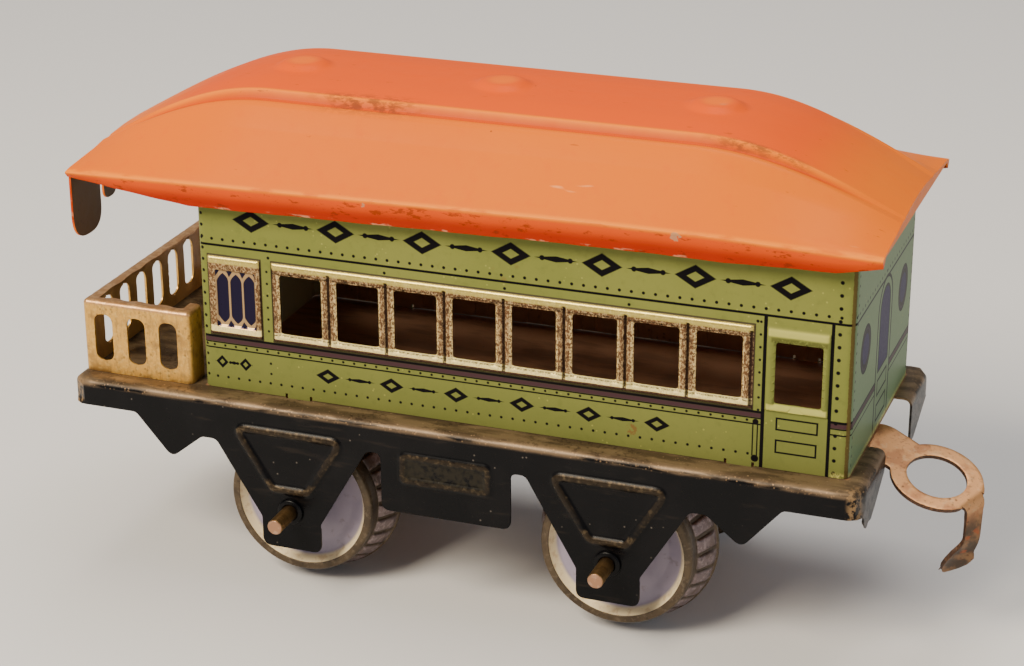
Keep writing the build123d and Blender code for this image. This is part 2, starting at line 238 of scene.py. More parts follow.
def slot_outline(centre, width, low, high, steps):
    """An upright slot with round ends."""
    half = width / 2
    return rounded(rectangle(centre - half, centre + half, low, high), half, steps, closed=True)


def rectangle(low_x, high_x, low_y, high_y, radius=0.0):
    corners = np.array([(low_x, low_y), (high_x, low_y), (high_x, high_y), (low_x, high_y)])
    return rounded(corners, radius, 4, closed=True) if radius else corners


def lines(*stretches):
    """Grid line places from (start, end, step) stretches."""
    places = []
    for start, end, step in stretches:
        count = max(1, round(abs(end - start) / step))
        places += list(np.linspace(start, end, count + 1))
    return np.unique(np.round(places, 4))


def blank(outline, holes, across, up, spacing, clearance):
    """Points and triangles that fill a flat outline, with its holes left open."""
    loops = [resampled(loop, spacing) for loop in (outline, *holes)]
    grid = np.array(np.meshgrid(across, up)).reshape(2, -1).T
    grid = grid[inside(grid, outline)]
    for hole in holes:
        grid = grid[~inside(grid, hole)]
    for loop in (outline, *holes):
        grid = grid[distance_to(grid, loop) > clearance]
    borders = []
    first = 0
    for loop in loops:
        count = len(loop)
        borders += [(first + index, first + (index + 1) % count) for index in range(count)]
        first += count
    points = [Vector(point) for point in np.concatenate([*loops, grid])]
    found = delaunay_2d_cdt(points, borders, [], 0, 1e-6)
    points = np.array([tuple(point) for point in found[0]])
    faces = np.array(found[2])
    middles = points[faces].mean(axis=1)
    keep = inside(middles, outline)
    for hole in holes:
        keep &= ~inside(middles, hole)
    return points, faces[keep]


class Path:
    """A plan route of straight runs and left-hand right-angle corners of one radius."""

    def __init__(self, points, radius):
        self.pieces = []
        self.corner_distance = []
        self.length = 0.0
        points = [np.array(point, float) for point in points]
        last = len(points) - 2
        for index in range(last + 1):
            leg = points[index + 1] - points[index]
            reach = np.linalg.norm(leg)
            along = leg / reach
            lead = radius if index > 0 else 0.0
            trail = radius if index < last else 0.0
            self.corner_distance.append(self.length - lead)
            self.add("run", reach - lead - trail, points[index] + along * lead, along)
            if index < last:
                self.add("turn", radius * math.pi / 2, points[index + 1] - along * radius, along)
        self.radius = radius

    def add(self, kind, length, start, along):
        if length > 0:
            self.pieces.append((kind, self.length, self.length + length, start, along))
            self.length += length

    def distance(self, run, from_corner):
        """The distance along the path of a place on a run, measured from its first corner."""
        return self.corner_distance[run] + from_corner

    def at(self, distances):
        """Positions and outward normals at distances along the path."""
        distances = np.clip(distances, 0, self.length)
        positions = np.zeros((len(distances), 2))
        normals = np.zeros((len(distances), 2))
        for kind, begin, end, start, along in self.pieces:
            chosen = (distances >= begin - 1e-6) & (distances <= end + 1e-6)
            passed = (distances[chosen] - begin)[:, None]
            outward = np.array([along[1], -along[0]])
            if kind == "run":
                positions[chosen] = start + along * passed
                normals[chosen] = outward
                continue
            angle = passed / self.radius
            turned = outward * np.cos(angle) + along * np.sin(angle)
            positions[chosen] = start + (turned - outward) * self.radius
            normals[chosen] = turned
        return positions, normals


# =============================== Mesh helpers ================================
def mesh_from(name, patches, weld=0.01, closed=False):
    """One mesh from (points in millimetres, faces) patches, welded where they meet."""
    build = bmesh.new()
    for points, faces in patches:
        corners = [build.verts.new(Vector(point) * MM) for point in points]
        for face in faces:
            build.faces.new([corners[index] for index in face])
    bmesh.ops.remove_doubles(build, verts=build.verts, dist=weld * MM)
    if closed:
        bmesh.ops.recalc_face_normals(build, faces=build.faces)
    mesh = bpy.data.meshes.new(name)
    build.to_mesh(mesh)
    build.free()
    mesh.shade_smooth()
    return mesh


def piece(name, mesh, body, slot, materials, *nodes):
    """A visible piece that rides on a body and stands for CAD nodes. Its materials are given
    by their names in MATERIALS: the outside's and, for a sheet, the inside's."""
    thing = bpy.data.objects.new(name, mesh)
    bpy.context.scene.collection.objects.link(thing)
    for material in materials.split():
        mesh.materials.append(MATERIALS[material])
    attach(thing, body)
    if nodes:
        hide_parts(*nodes)
    return thing


def sharpened(mesh, degrees):
    """Marks the edges that turn by more than an angle as sharp."""
    mesh.set_sharp_from_angle(angle=math.radians(degrees))
    return mesh


def solidify(thing, thickness):
    modifier = thing.modifiers.new("thickness", "SOLIDIFY")
    modifier.thickness = thickness * MM
    modifier.offset = -1
    return modifier


def settle(thing, sharp):
    """Replaces a piece's mesh by what its modifiers make of it."""
    bpy.context.view_layer.update()
    found = thing.evaluated_get(bpy.context.evaluated_depsgraph_get())
    mesh = bpy.data.meshes.new_from_object(found)
    thing.modifiers.clear()
    mesh.name = thing.name
    thing.data = sharpened(mesh, sharp)


def thickened(thing, even=True, sharp=38):
    """Gives a sheet its thickness inwards, with its own material on the inside."""
    modifier = solidify(thing, SHEET)
    modifier.use_even_offset = even
    modifier.thickness_clamp = 1.0
    modifier.material_offset = 1
    settle(thing, sharp)


def lathe(profile, centre, side, count, swell=None):
    """A closed (radius, distance out along Y) profile turned about an axle."""
    profile = np.array(profile, float)
    angles = np.linspace(0, 2 * math.pi, count, endpoint=False)
    rows = len(profile)
    points = np.zeros((count, rows, 3))
    for index, angle in enumerate(angles):
        radius = profile[:, 0] + (swell(angle) if swell else 0.0)
        points[index, :, 0] = centre.x + radius * math.cos(angle)
        points[index, :, 1] = centre.y + side * profile[:, 1]
        points[index, :, 2] = centre.z + radius * math.sin(angle)
    faces = []
    for index in range(count):
        following = (index + 1) % count
        for row in range(rows):
            after = (row + 1) % rows
            faces.append((index * rows + row, following * rows + row,
                          following * rows + after, index * rows + after))
    return points.reshape(-1, 3), faces


def upright(x, across, up):
    """Points of a flat sheet that stands at x, across the coach."""
    return np.column_stack([np.full(len(across), x), across, DECK + up])


def grid_faces(rows, columns):
    return [
        (row * columns + column, row * columns + column + 1,
         (row + 1) * columns + column + 1, (row + 1) * columns + column)
        for row in range(rows - 1)
        for column in range(columns - 1)
    ]


# ============================== Material helpers ==============================
def tone(red, green, blue):
    """A display colour (0 to 255) as the linear colour that shaders take."""
    scaled = [value / 255 for value in (red, green, blue)]
    linear = [v / 12.92 if v <= 0.04045 else ((v + 0.055) / 1.055) ** 2.4 for v in scaled]
    return (*linear, 1.0)


def feed(socket, value):
    """Links a field to a node's input, or sets a constant on it."""
    if isinstance(value, Field):
        value.tree.links.new(value.socket, socket)
    else:
        socket.default_value = value


class Field:
    """A number that varies over a surface. Arithmetic on it adds Math nodes."""

    def __init__(self, tree, socket):
        self.tree = tree
        self.socket = socket

    def math(self, operation, *others):
        node = self.tree.nodes.new("ShaderNodeMath")
        node.operation = operation
        for socket, value in zip(node.inputs, (self, *others)):
            feed(socket, value)
        return Field(self.tree, node.outputs[0])

    def __add__(self, other):
        return self.math("ADD", other)

    def __mul__(self, other):
        return self.math("MULTIPLY", other)

    def __sub__(self, other):
        return self.math("SUBTRACT", other)

    def __rsub__(self, other):
        return (self * -1.0) + other

    def __truediv__(self, other):
        return self.math("DIVIDE", other)

    def size(self):
        return self.math("ABSOLUTE")

    def either(self, other):
        return self.math("MAXIMUM", other)

    def ramp(self, low, high):
        """0 at low and 1 at high, smoothly; low may be the larger."""
        node = self.tree.nodes.new("ShaderNodeMapRange")
        node.interpolation_type = "SMOOTHSTEP"
        ends = (low, high, 0.0, 1.0) if low <= high else (high, low, 1.0, 0.0)
        for name, value in zip(("Value", "From Min", "From Max", "To Min", "To Max"), (self, *ends)):
            feed(node.inputs[name], value)
        return Field(self.tree, node.outputs["Result"])

    def line(self, centre, half, soft=0.06):
        """A stripe where the number is near a centre."""
        return (self - centre).size().ramp(half + soft, half - soft)

    def between(self, low, high, soft=0.06):
        return self.line((low + high) / 2, (high - low) / 2, soft)

    def nearest(self, pitch, phase):
        """Distance to the nearest of evenly spaced places."""
        return (self - phase).math("PINGPONG", pitch / 2)


def far(across, up):
    """Distance from where both fields are 0."""
    return (across * across + up * up).math("SQRT")


def any_of(fields):
    total = fields[0]
    for field in fields[1:]:
        total = total.either(field)
    return total


class Surface:
    """A material under construction, with the coordinates that its patterns use."""

    def __init__(self, name, roughness=0.5, metallic=0.0, coat=0.0, specular=0.5):
        self.material = bpy.data.materials.new(name)
        self.material.use_nodes = True
        self.tree = self.material.node_tree
        self.shader = self.tree.nodes["Principled BSDF"]
        self.shader.inputs["Roughness"].default_value = roughness
        self.shader.inputs["Metallic"].default_value = metallic
        self.shader.inputs["Coat Weight"].default_value = coat
        self.shader.inputs["Coat Roughness"].default_value = 0.12
        self.shader.inputs["Specular IOR Level"].default_value = specular
        place = self.tree.nodes.new("ShaderNodeTexCoord").outputs["Object"]
        scale = self.tree.nodes.new("ShaderNodeVectorMath")
        scale.operation = "SCALE"
        scale.inputs["Scale"].default_value = 1 / MM
        self.tree.links.new(place, scale.inputs[0])
        self.place = scale.outputs[0]
        split = self.tree.nodes.new("ShaderNodeSeparateXYZ")
        self.tree.links.new(self.place, split.inputs[0])
        self.x, self.y, self.z = (Field(self.tree, output) for output in split.outputs)
        self.v = self.z - DECK

    def pattern(self, kind, size, stretch, seed):
        """A texture node whose features are about size millimetres across."""
        node = self.tree.nodes.new(kind)
        mapping = self.tree.nodes.new("ShaderNodeMapping")
        mapping.inputs["Scale"].default_value = [1 / (size * factor) for factor in stretch]
        mapping.inputs["Location"].default_value = (seed * 3.1, seed * 1.7, seed * 2.3)
        self.tree.links.new(self.place, mapping.inputs["Vector"])
        self.tree.links.new(mapping.outputs[0], node.inputs["Vector"])
        node.inputs["Scale"].default_value = 1.0
        return node

    def noise(self, size, detail=3.0, stretch=(1, 1, 1), seed=0, rough=0.55):
        node = self.pattern("ShaderNodeTexNoise", size, stretch, seed)
        node.inputs["Detail"].default_value = detail
        node.inputs["Roughness"].default_value = rough
        return Field(self.tree, node.outputs[0])

    def cells(self, size, stretch=(1, 1, 1), seed=0):
        """Distance to the nearest of scattered points, in parts of size."""
        node = self.pattern("ShaderNodeTexVoronoi", size, stretch, seed)
        return Field(self.tree, node.outputs["Distance"])

    def scatter(self, size, radius, amount, seed=0, stretch=(1, 1, 1)):
        """Sparse soft spots: scattered points, kept only where a noise is high."""
        spots = self.cells(size, stretch, seed).ramp(radius, radius * 0.5)
        return spots * self.noise(size * 6, 1, seed=seed + 5).ramp(1 - amount, 1.04 - amount)

    def paint(self, colour, *layers):
        """Sets the colour: a base, then (mask, weight, colour) layers over it."""
        top = tone(*colour)
        for mask, weight, over in layers:
            mix = self.tree.nodes.new("ShaderNodeMix")
            mix.data_type = "RGBA"
            feed(mix.inputs["A"], top)
            feed(mix.inputs["B"], tone(*over))
            feed(mix.inputs["Factor"], mask if weight == 1 else mask * weight)
            top = Field(self.tree, mix.outputs["Result"])
        self.set("Base Color", top)

    def set(self, name, field):
        feed(self.shader.inputs[name], field)

    def relief(self, height, depth, strength):
        """Bumps of a height field, depth millimetres deep."""
        bump = self.tree.nodes.new("ShaderNodeBump")
        bump.inputs["Distance"].default_value = depth * MM
        bump.inputs["Strength"].default_value = strength
        self.tree.links.new(height.socket, bump.inputs["Height"])
        self.tree.links.new(bump.outputs[0], self.shader.inputs["Normal"])
        self.tree.links.new(bump.outputs[0], self.shader.inputs["Coat Normal"])

    def finished(self, roughness, height, depth, strength):
        """Sets the roughness and the bumps, and gives the material."""
        self.set("Roughness", roughness)
        self.relief(height, depth, strength)
        return self.material


# ================================= Materials =================================
INK = (16, 14, 16)
BELT = (66, 46, 50)
CREAM = (240, 212, 146)
SILVER = (188, 160, 116)
GLASS_BLUE = (30, 22, 66)
RUST = (112, 66, 38)


def roof_scuffs(s, past_ridge, rough):
    """Where the near side's ridge is rubbed to a dark stain."""
    near_side = s.y.ramp(0, -4)
    along = s.noise(5, 3, (3, 1, 1), seed=12)
    first = (s.x + 18.5).size().ramp(12.5, 3) * (past_ridge - 0.6).size().ramp(3.6, 0.4)
    second = (s.x - 48.0).size().ramp(11.0, 2.0) * (past_ridge - 0.2).size().ramp(1.5, 0.2)
    rubbed = (first * near_side).either(second * near_side)
    return rubbed * rough.ramp(0.42, 0.57) * along.ramp(0.26, 0.46)


def roof_chips(s, outer):
    """Three ragged chips: two on the near eave and one on a boss."""
    ragged = (s.noise(0.7, 4, seed=15) - 0.5) * 3.0
    return s.y.ramp(0, -4) * any_of([
        spot(s.x + ragged, s.v, (38.5, 38.7), 0.75) * outer,
        spot(s.x + ragged, s.v, (-14.0, 37.8), 0.4) * outer,
        spot(s.x + ragged, s.y, (39.0, -1.3), 0.65),
    ])


def painted_roof():
    """Orange enamel: a paler side, a redder crown painted as shade, a dark lip painted as shade,
    painted highlights on the bosses, the ridge's edge and the eave, painted shade in the valley below
    the ridge, and the marks of handling.
    """
    s = Surface("orange_enamel", roughness=0.38, specular=0.06)
    wide = s.noise(38, 2, seed=1)
    mottle = s.noise(2.6, 4, seed=2)
    rough = s.noise(0.8, 6, (2.4, 1, 1), seed=3, rough=0.72)
    toward_end = ((s.x - ROOF_REAR) / RISE_REAR).math("MINIMUM", (ROOF_FRONT - s.x) / RISE_FRONT)
    toward_end = toward_end.math("MINIMUM", 1.0)
    ridge = toward_end * (2.0 - toward_end) * (RIDGE_HALF - RIDGE_HALF_END) + RIDGE_HALF_END
    past_ridge = s.y.size() - ridge
    scuff = roof_scuffs(s, past_ridge, rough)
    # Painted shade: beyond the ridge the crown is painted redder and darker than the side.
    top = past_ridge.ramp(0.2, -0.8) * toward_end.ramp(0.12, 0.6)
    # Painted highlight: a light line along the ridge's edge.
    ridge_edge_highlight = past_ridge.between(-0.15, 0.35, 0.2) * toward_end.ramp(0.15, 0.5)
    # Painted shade: a darker band in the valley below the ridge.
    valley_shade = past_ridge.between(0.6, 1.7, 0.35) * toward_end.ramp(0.1, 0.4)
    # Painted highlight: the bosses are painted a lighter orange.
    boss = any_of([far(s.x - x, s.y).ramp(3.4, 1.2) for x in BOSS_X])
    climb = ((s.x - ROOF_REAR) / (EAVE_BEND - ROOF_REAR)).math("MINIMUM", 1.0) * 2.0
    fall = ((s.x - ROOF_FRONT + EAVE_BEND) / EAVE_BEND).math("MAXIMUM", 0.0) * 0.7
    below = climb - fall + 37.5 - s.v
    outer = s.y.size().ramp(25.0, 25.6)
    broken = s.noise(2.2, 4, (3, 1, 1), seed=13).ramp(0.35, 0.5)
    # Painted highlight along the eave's edge, broken up like edge wear.
    eave_highlight_and_wear = below.between(-0.25, 0.3, 0.25) * outer * broken
    # Painted shade: the lip, which faces sideways and down, is painted darker red, darkest towards
    # its lower edge.
    lip = below.ramp(0.2, 0.9) * outer
    lip_lower_shade = below.ramp(0.8, 3.4) * outer
    lip_wear = lip * s.noise(1.3, 6, (2.5, 1, 1), seed=4, rough=0.7).ramp(0.57, 0.63)
    pale = below.ramp(3.75, 4.1) * outer * s.noise(1.6, 5, (3, 1, 1), seed=14).ramp(0.55, 0.62)
    scratch = s.noise(0.5, 2, (30, 8, 8), seed=6).ramp(0.745, 0.775) * wide.ramp(0.5, 0.62)
    nick = s.noise(0.8, 3, (5, 1.5, 1.5), seed=7).ramp(0.71, 0.76)
    specks = s.scatter(3.1, 0.07, 0.34, seed=8)
    chips = roof_chips(s, outer)
    s.paint(
        (218, 104, 0),
        (wide.ramp(0.35, 0.65), 0.35, (222, 114, 0)),
        (top, 0.8, (218, 74, 0)),
        (mottle.ramp(0.5, 0.8), 0.14, (214, 66, 0)),
        (boss, 0.5, (236, 118, 0)),
        (ridge_edge_highlight, 0.55, (246, 134, 0)),
        (valley_shade, 0.75, (190, 56, 0)),
        (lip, 0.7, (206, 56, 0)),
        (lip_lower_shade, 0.85, (152, 24, 0)),
        (eave_highlight_and_wear, 0.5, (255, 150, 20)),
        (pale, 0.55, (214, 160, 120)),
        (scratch, 0.4, (255, 190, 128)),
        (nick, 0.5, (150, 66, 24)),
        (specks, 0.7, (120, 50, 22)),
        (lip_wear, 0.6, (96, 40, 20)),
        (scuff, 0.7, (112, 62, 44)),
        (chips, 0.75, (168, 136, 104)),
    )
    return s.finished(
        mottle * 0.14 + 0.3 + scuff * 0.3,
        s.noise(7, 2, seed=11) * 0.6 + mottle * 0.06 - scuff * 0.06 - scratch * 0.03,
        0.16, 0.55,
    )


def bare_inside():
    """The dull, darkened inside of the tinplate, a little lighter on the rear bulkhead."""
    s = Surface("bare_inside", roughness=0.5, metallic=0.0)
    grain = s.noise(1.3, 5, (3, 1, 1), seed=21)
    rear = s.x.ramp(BODY_REAR + 3, BODY_REAR + 0.8) * s.v.ramp(-1, 1) * s.x.ramp(-47, -46.4)
    lobes = s.x.ramp(BODY_REAR - 4, BODY_REAR - 8).either(s.v.ramp(-4, -6))
    s.paint(
        (160, 116, 82),
        (grain.ramp(0.4, 0.75), 0.5, (186, 138, 100)),
        (s.scatter(1.1, 0.3, 0.42, seed=22), 0.5, (84, 58, 40)),
        (lobes, 0.8, (62, 38, 22)),
        (rear, 0.9, (176, 178, 134)),
    )
    return s.finished(grain * 0.3 + 0.32, grain, 0.05, 0.5)


def black_tin():
    """Black japanning, worn to bronze on the deck's ledge, its folds and the pressed beads."""
    s = Surface("black_japan", roughness=0.3, specular=0.14)
    fine = s.noise(0.8, 5, seed=31)
    streak = s.noise(1.4, 5, (7, 2, 1), seed=32)
    broad = s.noise(9, 3, seed=33)
    grit = s.cells(0.55, seed=37).ramp(0.34, 0.2)
    level = s.v.ramp(-0.9, -0.2)
    fold_edge = s.v.line(-0.7, 0.45, 0.4)
    proud = s.y.size().ramp(DECK_HALF_WIDTH + 0.06, DECK_HALF_WIDTH + 0.4)
    worn_bead = (proud + (fine - 0.5) * 1.3).ramp(0.45, 1.0)
    bead_bands = s.v.ramp(-7.6, -4.6).either(s.v.between(-16.4, -13.6, 0.3)).either(
        (s.x.size() - AXLES["front"].x).size().ramp(4.0, 7.5) * 0.55)
    box = s.x.size().ramp(7.9, 7.0) * s.v.between(-9.8, -5.6, 0.4) * s.y.size().ramp(27.2, 27.4)
    between_walls = s.y.size().ramp(BODY_HALF, BODY_HALF - 0.5)
    inside_body = s.x.between(BODY_REAR, BODY_FRONT, 0.3) * between_walls
    apron = s.x.ramp(DECK_HALF_LENGTH - 0.5, DECK_HALF_LENGTH - 0.2) * s.v.ramp(-1.4, -2.6)
    to_end = (s.x.size() - DECK_HALF_LENGTH + 1.0).size()
    to_side = (s.y.size() - DECK_HALF_WIDTH + 1.0).size()
    corner = (to_end + to_side).ramp(2.6, 1.2) * fine.ramp(0.44, 0.56)
    dust = s.scatter(2.1, 0.10, 0.5, seed=34)
    rust = s.scatter(3.4, 0.2, 0.3, seed=36)
    s.paint(
        (5, 5, 7),
        (broad.ramp(0.4, 0.7), 0.35, (20, 18, 20)),
        (streak.ramp(0.58, 0.72), 0.3, (48, 40, 34)),
        (box * fine.ramp(0.3, 0.6), 0.8, (38, 34, 25)),
        (level, 0.95, (86, 71, 53)),
        (level * streak.ramp(0.42, 0.6), 0.7, (132, 111, 82)),
        (level * grit * fine.ramp(0.5, 0.62), 0.5, (164, 138, 104)),
        (level * broad.ramp(0.5, 0.62) * fine.ramp(0.5, 0.62), 0.6, (40, 30, 24)),
        (fold_edge * streak.ramp(0.38, 0.56), 0.7, (132, 110, 86)),
        (fold_edge * grit * fine.ramp(0.42, 0.56), 0.55, (160, 128, 94)),
        (worn_bead * bead_bands, 0.7, (56, 46, 34)),
        (worn_bead * bead_bands * fine.ramp(0.52, 0.65), 0.6, (92, 78, 58)),
        (inside_body * level, 0.95, (176, 128, 92)),
        (inside_body * level * streak.ramp(0.45, 0.6), 0.5, (120, 84, 58)),
        (apron * streak.ramp(0.4, 0.6), 0.6, (92, 84, 78)),
        (corner, 0.7, (140, 112, 78)),
        (dust, 0.6, (104, 96, 88)),
        (rust, 0.6, (110, 58, 40)),
    )
    s.set("Metallic", level * 0.4 + worn_bead * bead_bands * 0.3)
    return s.finished(
        fine * 0.2 + 0.2 + level * 0.16,
        broad * 0.5 + fine * 0.12 + streak * level * 0.25,
        0.10, 0.6,
    )


def gold_tin():
    s = Surface("gold_lacquer", roughness=0.38, metallic=0.6)
    fine = s.noise(0.55, 4, seed=41)
    cloud = s.noise(3.4, 5, seed=42)
    brushed = s.noise(0.5, 5, (1, 1, 5), seed=44, rough=0.65)
    lip = s.v.ramp(12.3, 12.9)
    inner = s.noise(1.2, 4, seed=45)
    s.paint(
        (212, 162, 78),
        (brushed.ramp(0.46, 0.66), 0.5, (140, 106, 62)),
        (fine.ramp(0.5, 0.62), 0.5, (222, 184, 108)),
        (cloud.ramp(0.5, 0.66), 0.55, (134, 98, 56)),
        (s.scatter(0.9, 0.34, 0.5, seed=43), 0.5, (96, 66, 38)),
        (lip, 0.85, (178, 132, 92)),
        (lip * inner.ramp(0.48, 0.6), 0.6, (214, 172, 124)),
        (s.v.ramp(0.9, 0.1) * cloud.ramp(0.4, 0.6), 0.6, (92, 62, 36)),
    )
    return s.finished(fine * 0.25 + 0.26, fine * 0.4 + cloud * 0.6, 0.06, 0.6)


def gold_inside():
    s = Surface("gold_lacquer_inside", roughness=0.5, metallic=0.0)
    fine = s.noise(0.9, 5, seed=46)
    cloud = s.noise(4, 4, (1, 1, 2), seed=47)
    s.paint(
        (206, 156, 100),
        (fine.ramp(0.5, 0.7), 0.45, (226, 184, 126)),
        (cloud.ramp(0.48, 0.66), 0.5, (150, 108, 68)),
    )
    return s.finished(fine * 0.3 + 0.34, fine, 0.05, 0.5)


def copper_tin():
    s = Surface("copper_wash", roughness=0.36, metallic=0.65)
    fine = s.noise(0.6, 5, seed=51)
    cloud = s.noise(3.2, 4, seed=52)
    hook = s.z.ramp(27.5, 22.0)
    s.paint(
        (192, 140, 92),
        (cloud.ramp(0.48, 0.64), 0.6, (146, 92, 60)),
        (fine.ramp(0.56, 0.68), 0.45, (96, 72, 52)),
        (s.noise(1.2, 4, seed=56).ramp(0.56, 0.68), 0.4, (190, 160, 120)),
        (hook, 0.8, (96, 74, 54)),
        (hook * cloud.ramp(0.36, 0.52), 0.85, (56, 50, 44)),
        (hook * s.noise(1.7, 4, seed=53).ramp(0.55, 0.66), 0.7, (150, 76, 42)),
        (s.scatter(1.0, 0.3, 0.4, seed=54), 0.7, (80, 50, 34)),
    )
    return s.finished(fine * 0.26 + 0.24 + hook * 0.08, fine * 0.5 + cloud * 0.5, 0.07, 0.6)


def cut_edge():
    """The dark sheared edge of the coupler strip."""
    s = Surface("cut_edge", roughness=0.5, metallic=0.6)
    grain = s.noise(0.3, 4, (1, 1, 3), seed=55)
    s.paint((66, 44, 32), (grain.ramp(0.45, 0.7), 0.6, (134, 96, 66)))
    return s.finished(grain * 0.3 + 0.32, grain, 0.06, 0.8)


def from_axle(s):
    """Place fore and aft of the nearer axle, and height above it."""
    on_front = (s.x - AXLES["front"].x).size() - (s.x - AXLES["rear"].x).size()
    near = on_front.ramp(0.1, -0.1)
    across = (s.x - AXLES["front"].x) * near + (s.x - AXLES["rear"].x) * (1.0 - near)
    return across, s.z - AXLES["front"].z


def wheel_radius(s):
    return far(*from_axle(s))


def wheel_white():
    s = Surface("white_enamel", roughness=0.32, specular=0.35)
    cloud = s.noise(5, 4, seed=61)
    radius = wheel_radius(s)
    # Painted highlight: the dish's sloping outer ring is painted cream all round, where light would
    # catch it.
    lip = radius.ramp(10.7, 11.3)
    s.paint(
        (156, 146, 164),
        (cloud.ramp(0.42, 0.7), 0.45, (128, 120, 144)),
        (s.noise(1.6, 5, seed=62).ramp(0.58, 0.7), 0.4, (112, 98, 92)),
        (lip, 0.9, (255, 234, 186)),
        (lip * s.noise(1.1, 4, seed=64).ramp(0.5, 0.66), 0.5, (206, 170, 120)),
        (s.scatter(1.9, 0.14, 0.42, seed=63), 0.8, (48, 36, 32)),
    )
    return s.finished(cloud * 0.2 + 0.22, cloud, 0.05, 0.4)


def wheel_brown():
    """The bronzed tinplate of the wheels' rims and treads, brighter where it has rubbed."""
    s = Surface("browned_tin", roughness=0.42, metallic=0.45)
    fine = s.noise(0.7, 5, seed=71)
    cloud = s.noise(2.8, 4, seed=72)
    across, rise = from_axle(s)
    share = (rise.math("ARCTAN2", across) * (FLUTES / (2 * math.pi))).math("FLOORED_MODULO", 1.0)
    share = share + (fine - 0.5) * 0.12
    raised = share.ramp(PAD_START, PAD_START + 0.12) * share.ramp(1.0, 0.88)
    tread = s.y.size().between(TREAD_START + 0.1, RIM_START, 0.2) * wheel_radius(s).ramp(13.2, 13.4)
    pads = tread * raised
    between = tread * (1.0 - raised)
    s.paint(
        (82, 68, 50),
        (cloud.ramp(0.45, 0.62), 0.6, (54, 43, 33)),
        (fine.ramp(0.52, 0.66), 0.45, (118, 104, 86)),
        (pads, 0.85, (122, 106, 108)),
        (pads * fine.ramp(0.5, 0.6), 0.5, (164, 148, 148)),
        (pads * cloud.ramp(0.5, 0.62), 0.6, (88, 70, 56)),
        (between, 0.5, (62, 49, 40)),
        (s.scatter(1.0, 0.3, 0.45, seed=73), 0.6, (40, 30, 25)),
    )
    return s.finished(fine * 0.3 + 0.26, fine * 0.6 + cloud * 0.4, 0.08, 0.7)


def axle_metal():
    s = Surface("axle_metal", roughness=0.34, metallic=0.85)
    rings = s.noise(0.25, 3, (8, 1, 8), seed=81)
    stain = s.noise(1.3, 4, seed=82)
    end = s.y.size().ramp(AXLE_HALF - 0.14, AXLE_HALF - 0.04)
    s.paint(
        (132, 102, 62),
        (rings.ramp(0.45, 0.7), 0.35, (168, 134, 88)),
        (stain.ramp(0.5, 0.66), 0.5, (78, 58, 36)),
        (end, 0.8, (176, 132, 106)),
        (end * stain.ramp(0.5, 0.62), 0.4, (206, 172, 148)),
        (s.y.size().ramp(30.4, 28.4), 0.7, (56, 42, 28)),
    )
    return s.finished(stain * 0.25 + 0.24, rings, 0.04, 0.6)


# ---- The printed body: heights above the deck, places along the wall ----
BELT_BAND = (8.64, 9.42)
CANTRAIL_V = 26.26
HIGH_DOTS_V = 27.35
DOOR_LINES = (52.6, 63.35)
ARCH_V = 21.0
PORT = (14.4, 19.2)


def dots(u, v, row, pitch, phase, radius=0.24):
    """A row of printed rivet dots along u at height row."""
    return far(u.nearest(pitch, phase), v - row).ramp(radius + 0.08, radius - 0.08)


def belt_lines(v, off_door, top_half):
    """The three ink lines round the belt below the windows."""
    rows = ((7.5, 0.13), (8.52, 0.12), (9.62, top_half))
    return [v.line(row, half) * off_door for row, half in rows]


def spot(u, v, place, radius):
    """A round spot at a place."""
    return far(u - place[0], v - place[1]).ramp(radius + 0.08, radius - 0.08)


def frame_lines(u, v, low_u, high_u, low_v, high_v, half=0.15):
    """A printed rectangle outline."""
    wide = u.between(low_u - half, high_u + half)
    tall = v.between(low_v - half, high_v + half)
    sides = (u.line(low_u, half)).either(u.line(high_u, half)) * tall
    ends = (v.line(low_v, half)).either(v.line(high_v, half)) * wide
    return sides.either(ends)


def lozenges(u, v, row, pitch, phase, half_length, half_height):
    """A row of pointed lozenges with a slim bar between each two."""
    across = u.nearest(pitch, phase)
    up = (v - row).size()
    lozenge = (across / half_length + up / half_height).ramp(1.06, 0.94)
    inner = (across / (half_length * 0.42) + up / (half_height * 0.42)).ramp(0.9, 1.1)
    midway = u.nearest(pitch, phase + pitch / 2)
    taper = (midway / (pitch * 0.24) + up / (half_height * 0.26)).ramp(1.08, 0.92)
    beads = (midway - pitch * 0.155).size()
    pearl = far(beads, up).ramp(half_height * 0.26, half_height * 0.18)
    return (lozenge * inner).either(taper).either(pearl)


def lead_window(u, v):
    """Three leaded lancet panes: returns the dark glass and the pale leading."""
    low_u, high_u, low_v, high_v = LEAD_PANES
    pitch = (high_u - low_u) / PANE_COUNT
    across = (u - low_u - pitch / 2).math("PINGPONG", pitch / 2)
    area = u.between(low_u, high_u) * v.between(low_v, high_v)
    middle = (low_v + high_v) / 2
    reach = (high_v - low_v) / 2
    up = (v - middle).size()
    shoulder = reach - 2.3
    beyond = (up - shoulder).math("MAXIMUM", 0.0)
    half = pitch / 2 - 0.17
    lancet = across + beyond * beyond * 0.42
    glass = lancet.ramp(half + 0.06, half - 0.06) * up.ramp(reach - 0.35, reach - 0.5)
    corner = (pitch / 2 - across) + (reach - up) * 0.6
    tracery = corner.ramp(0.85, 0.7) * up.ramp(reach - 0.05, reach - 0.15)
    return area * glass.either(tracery), area


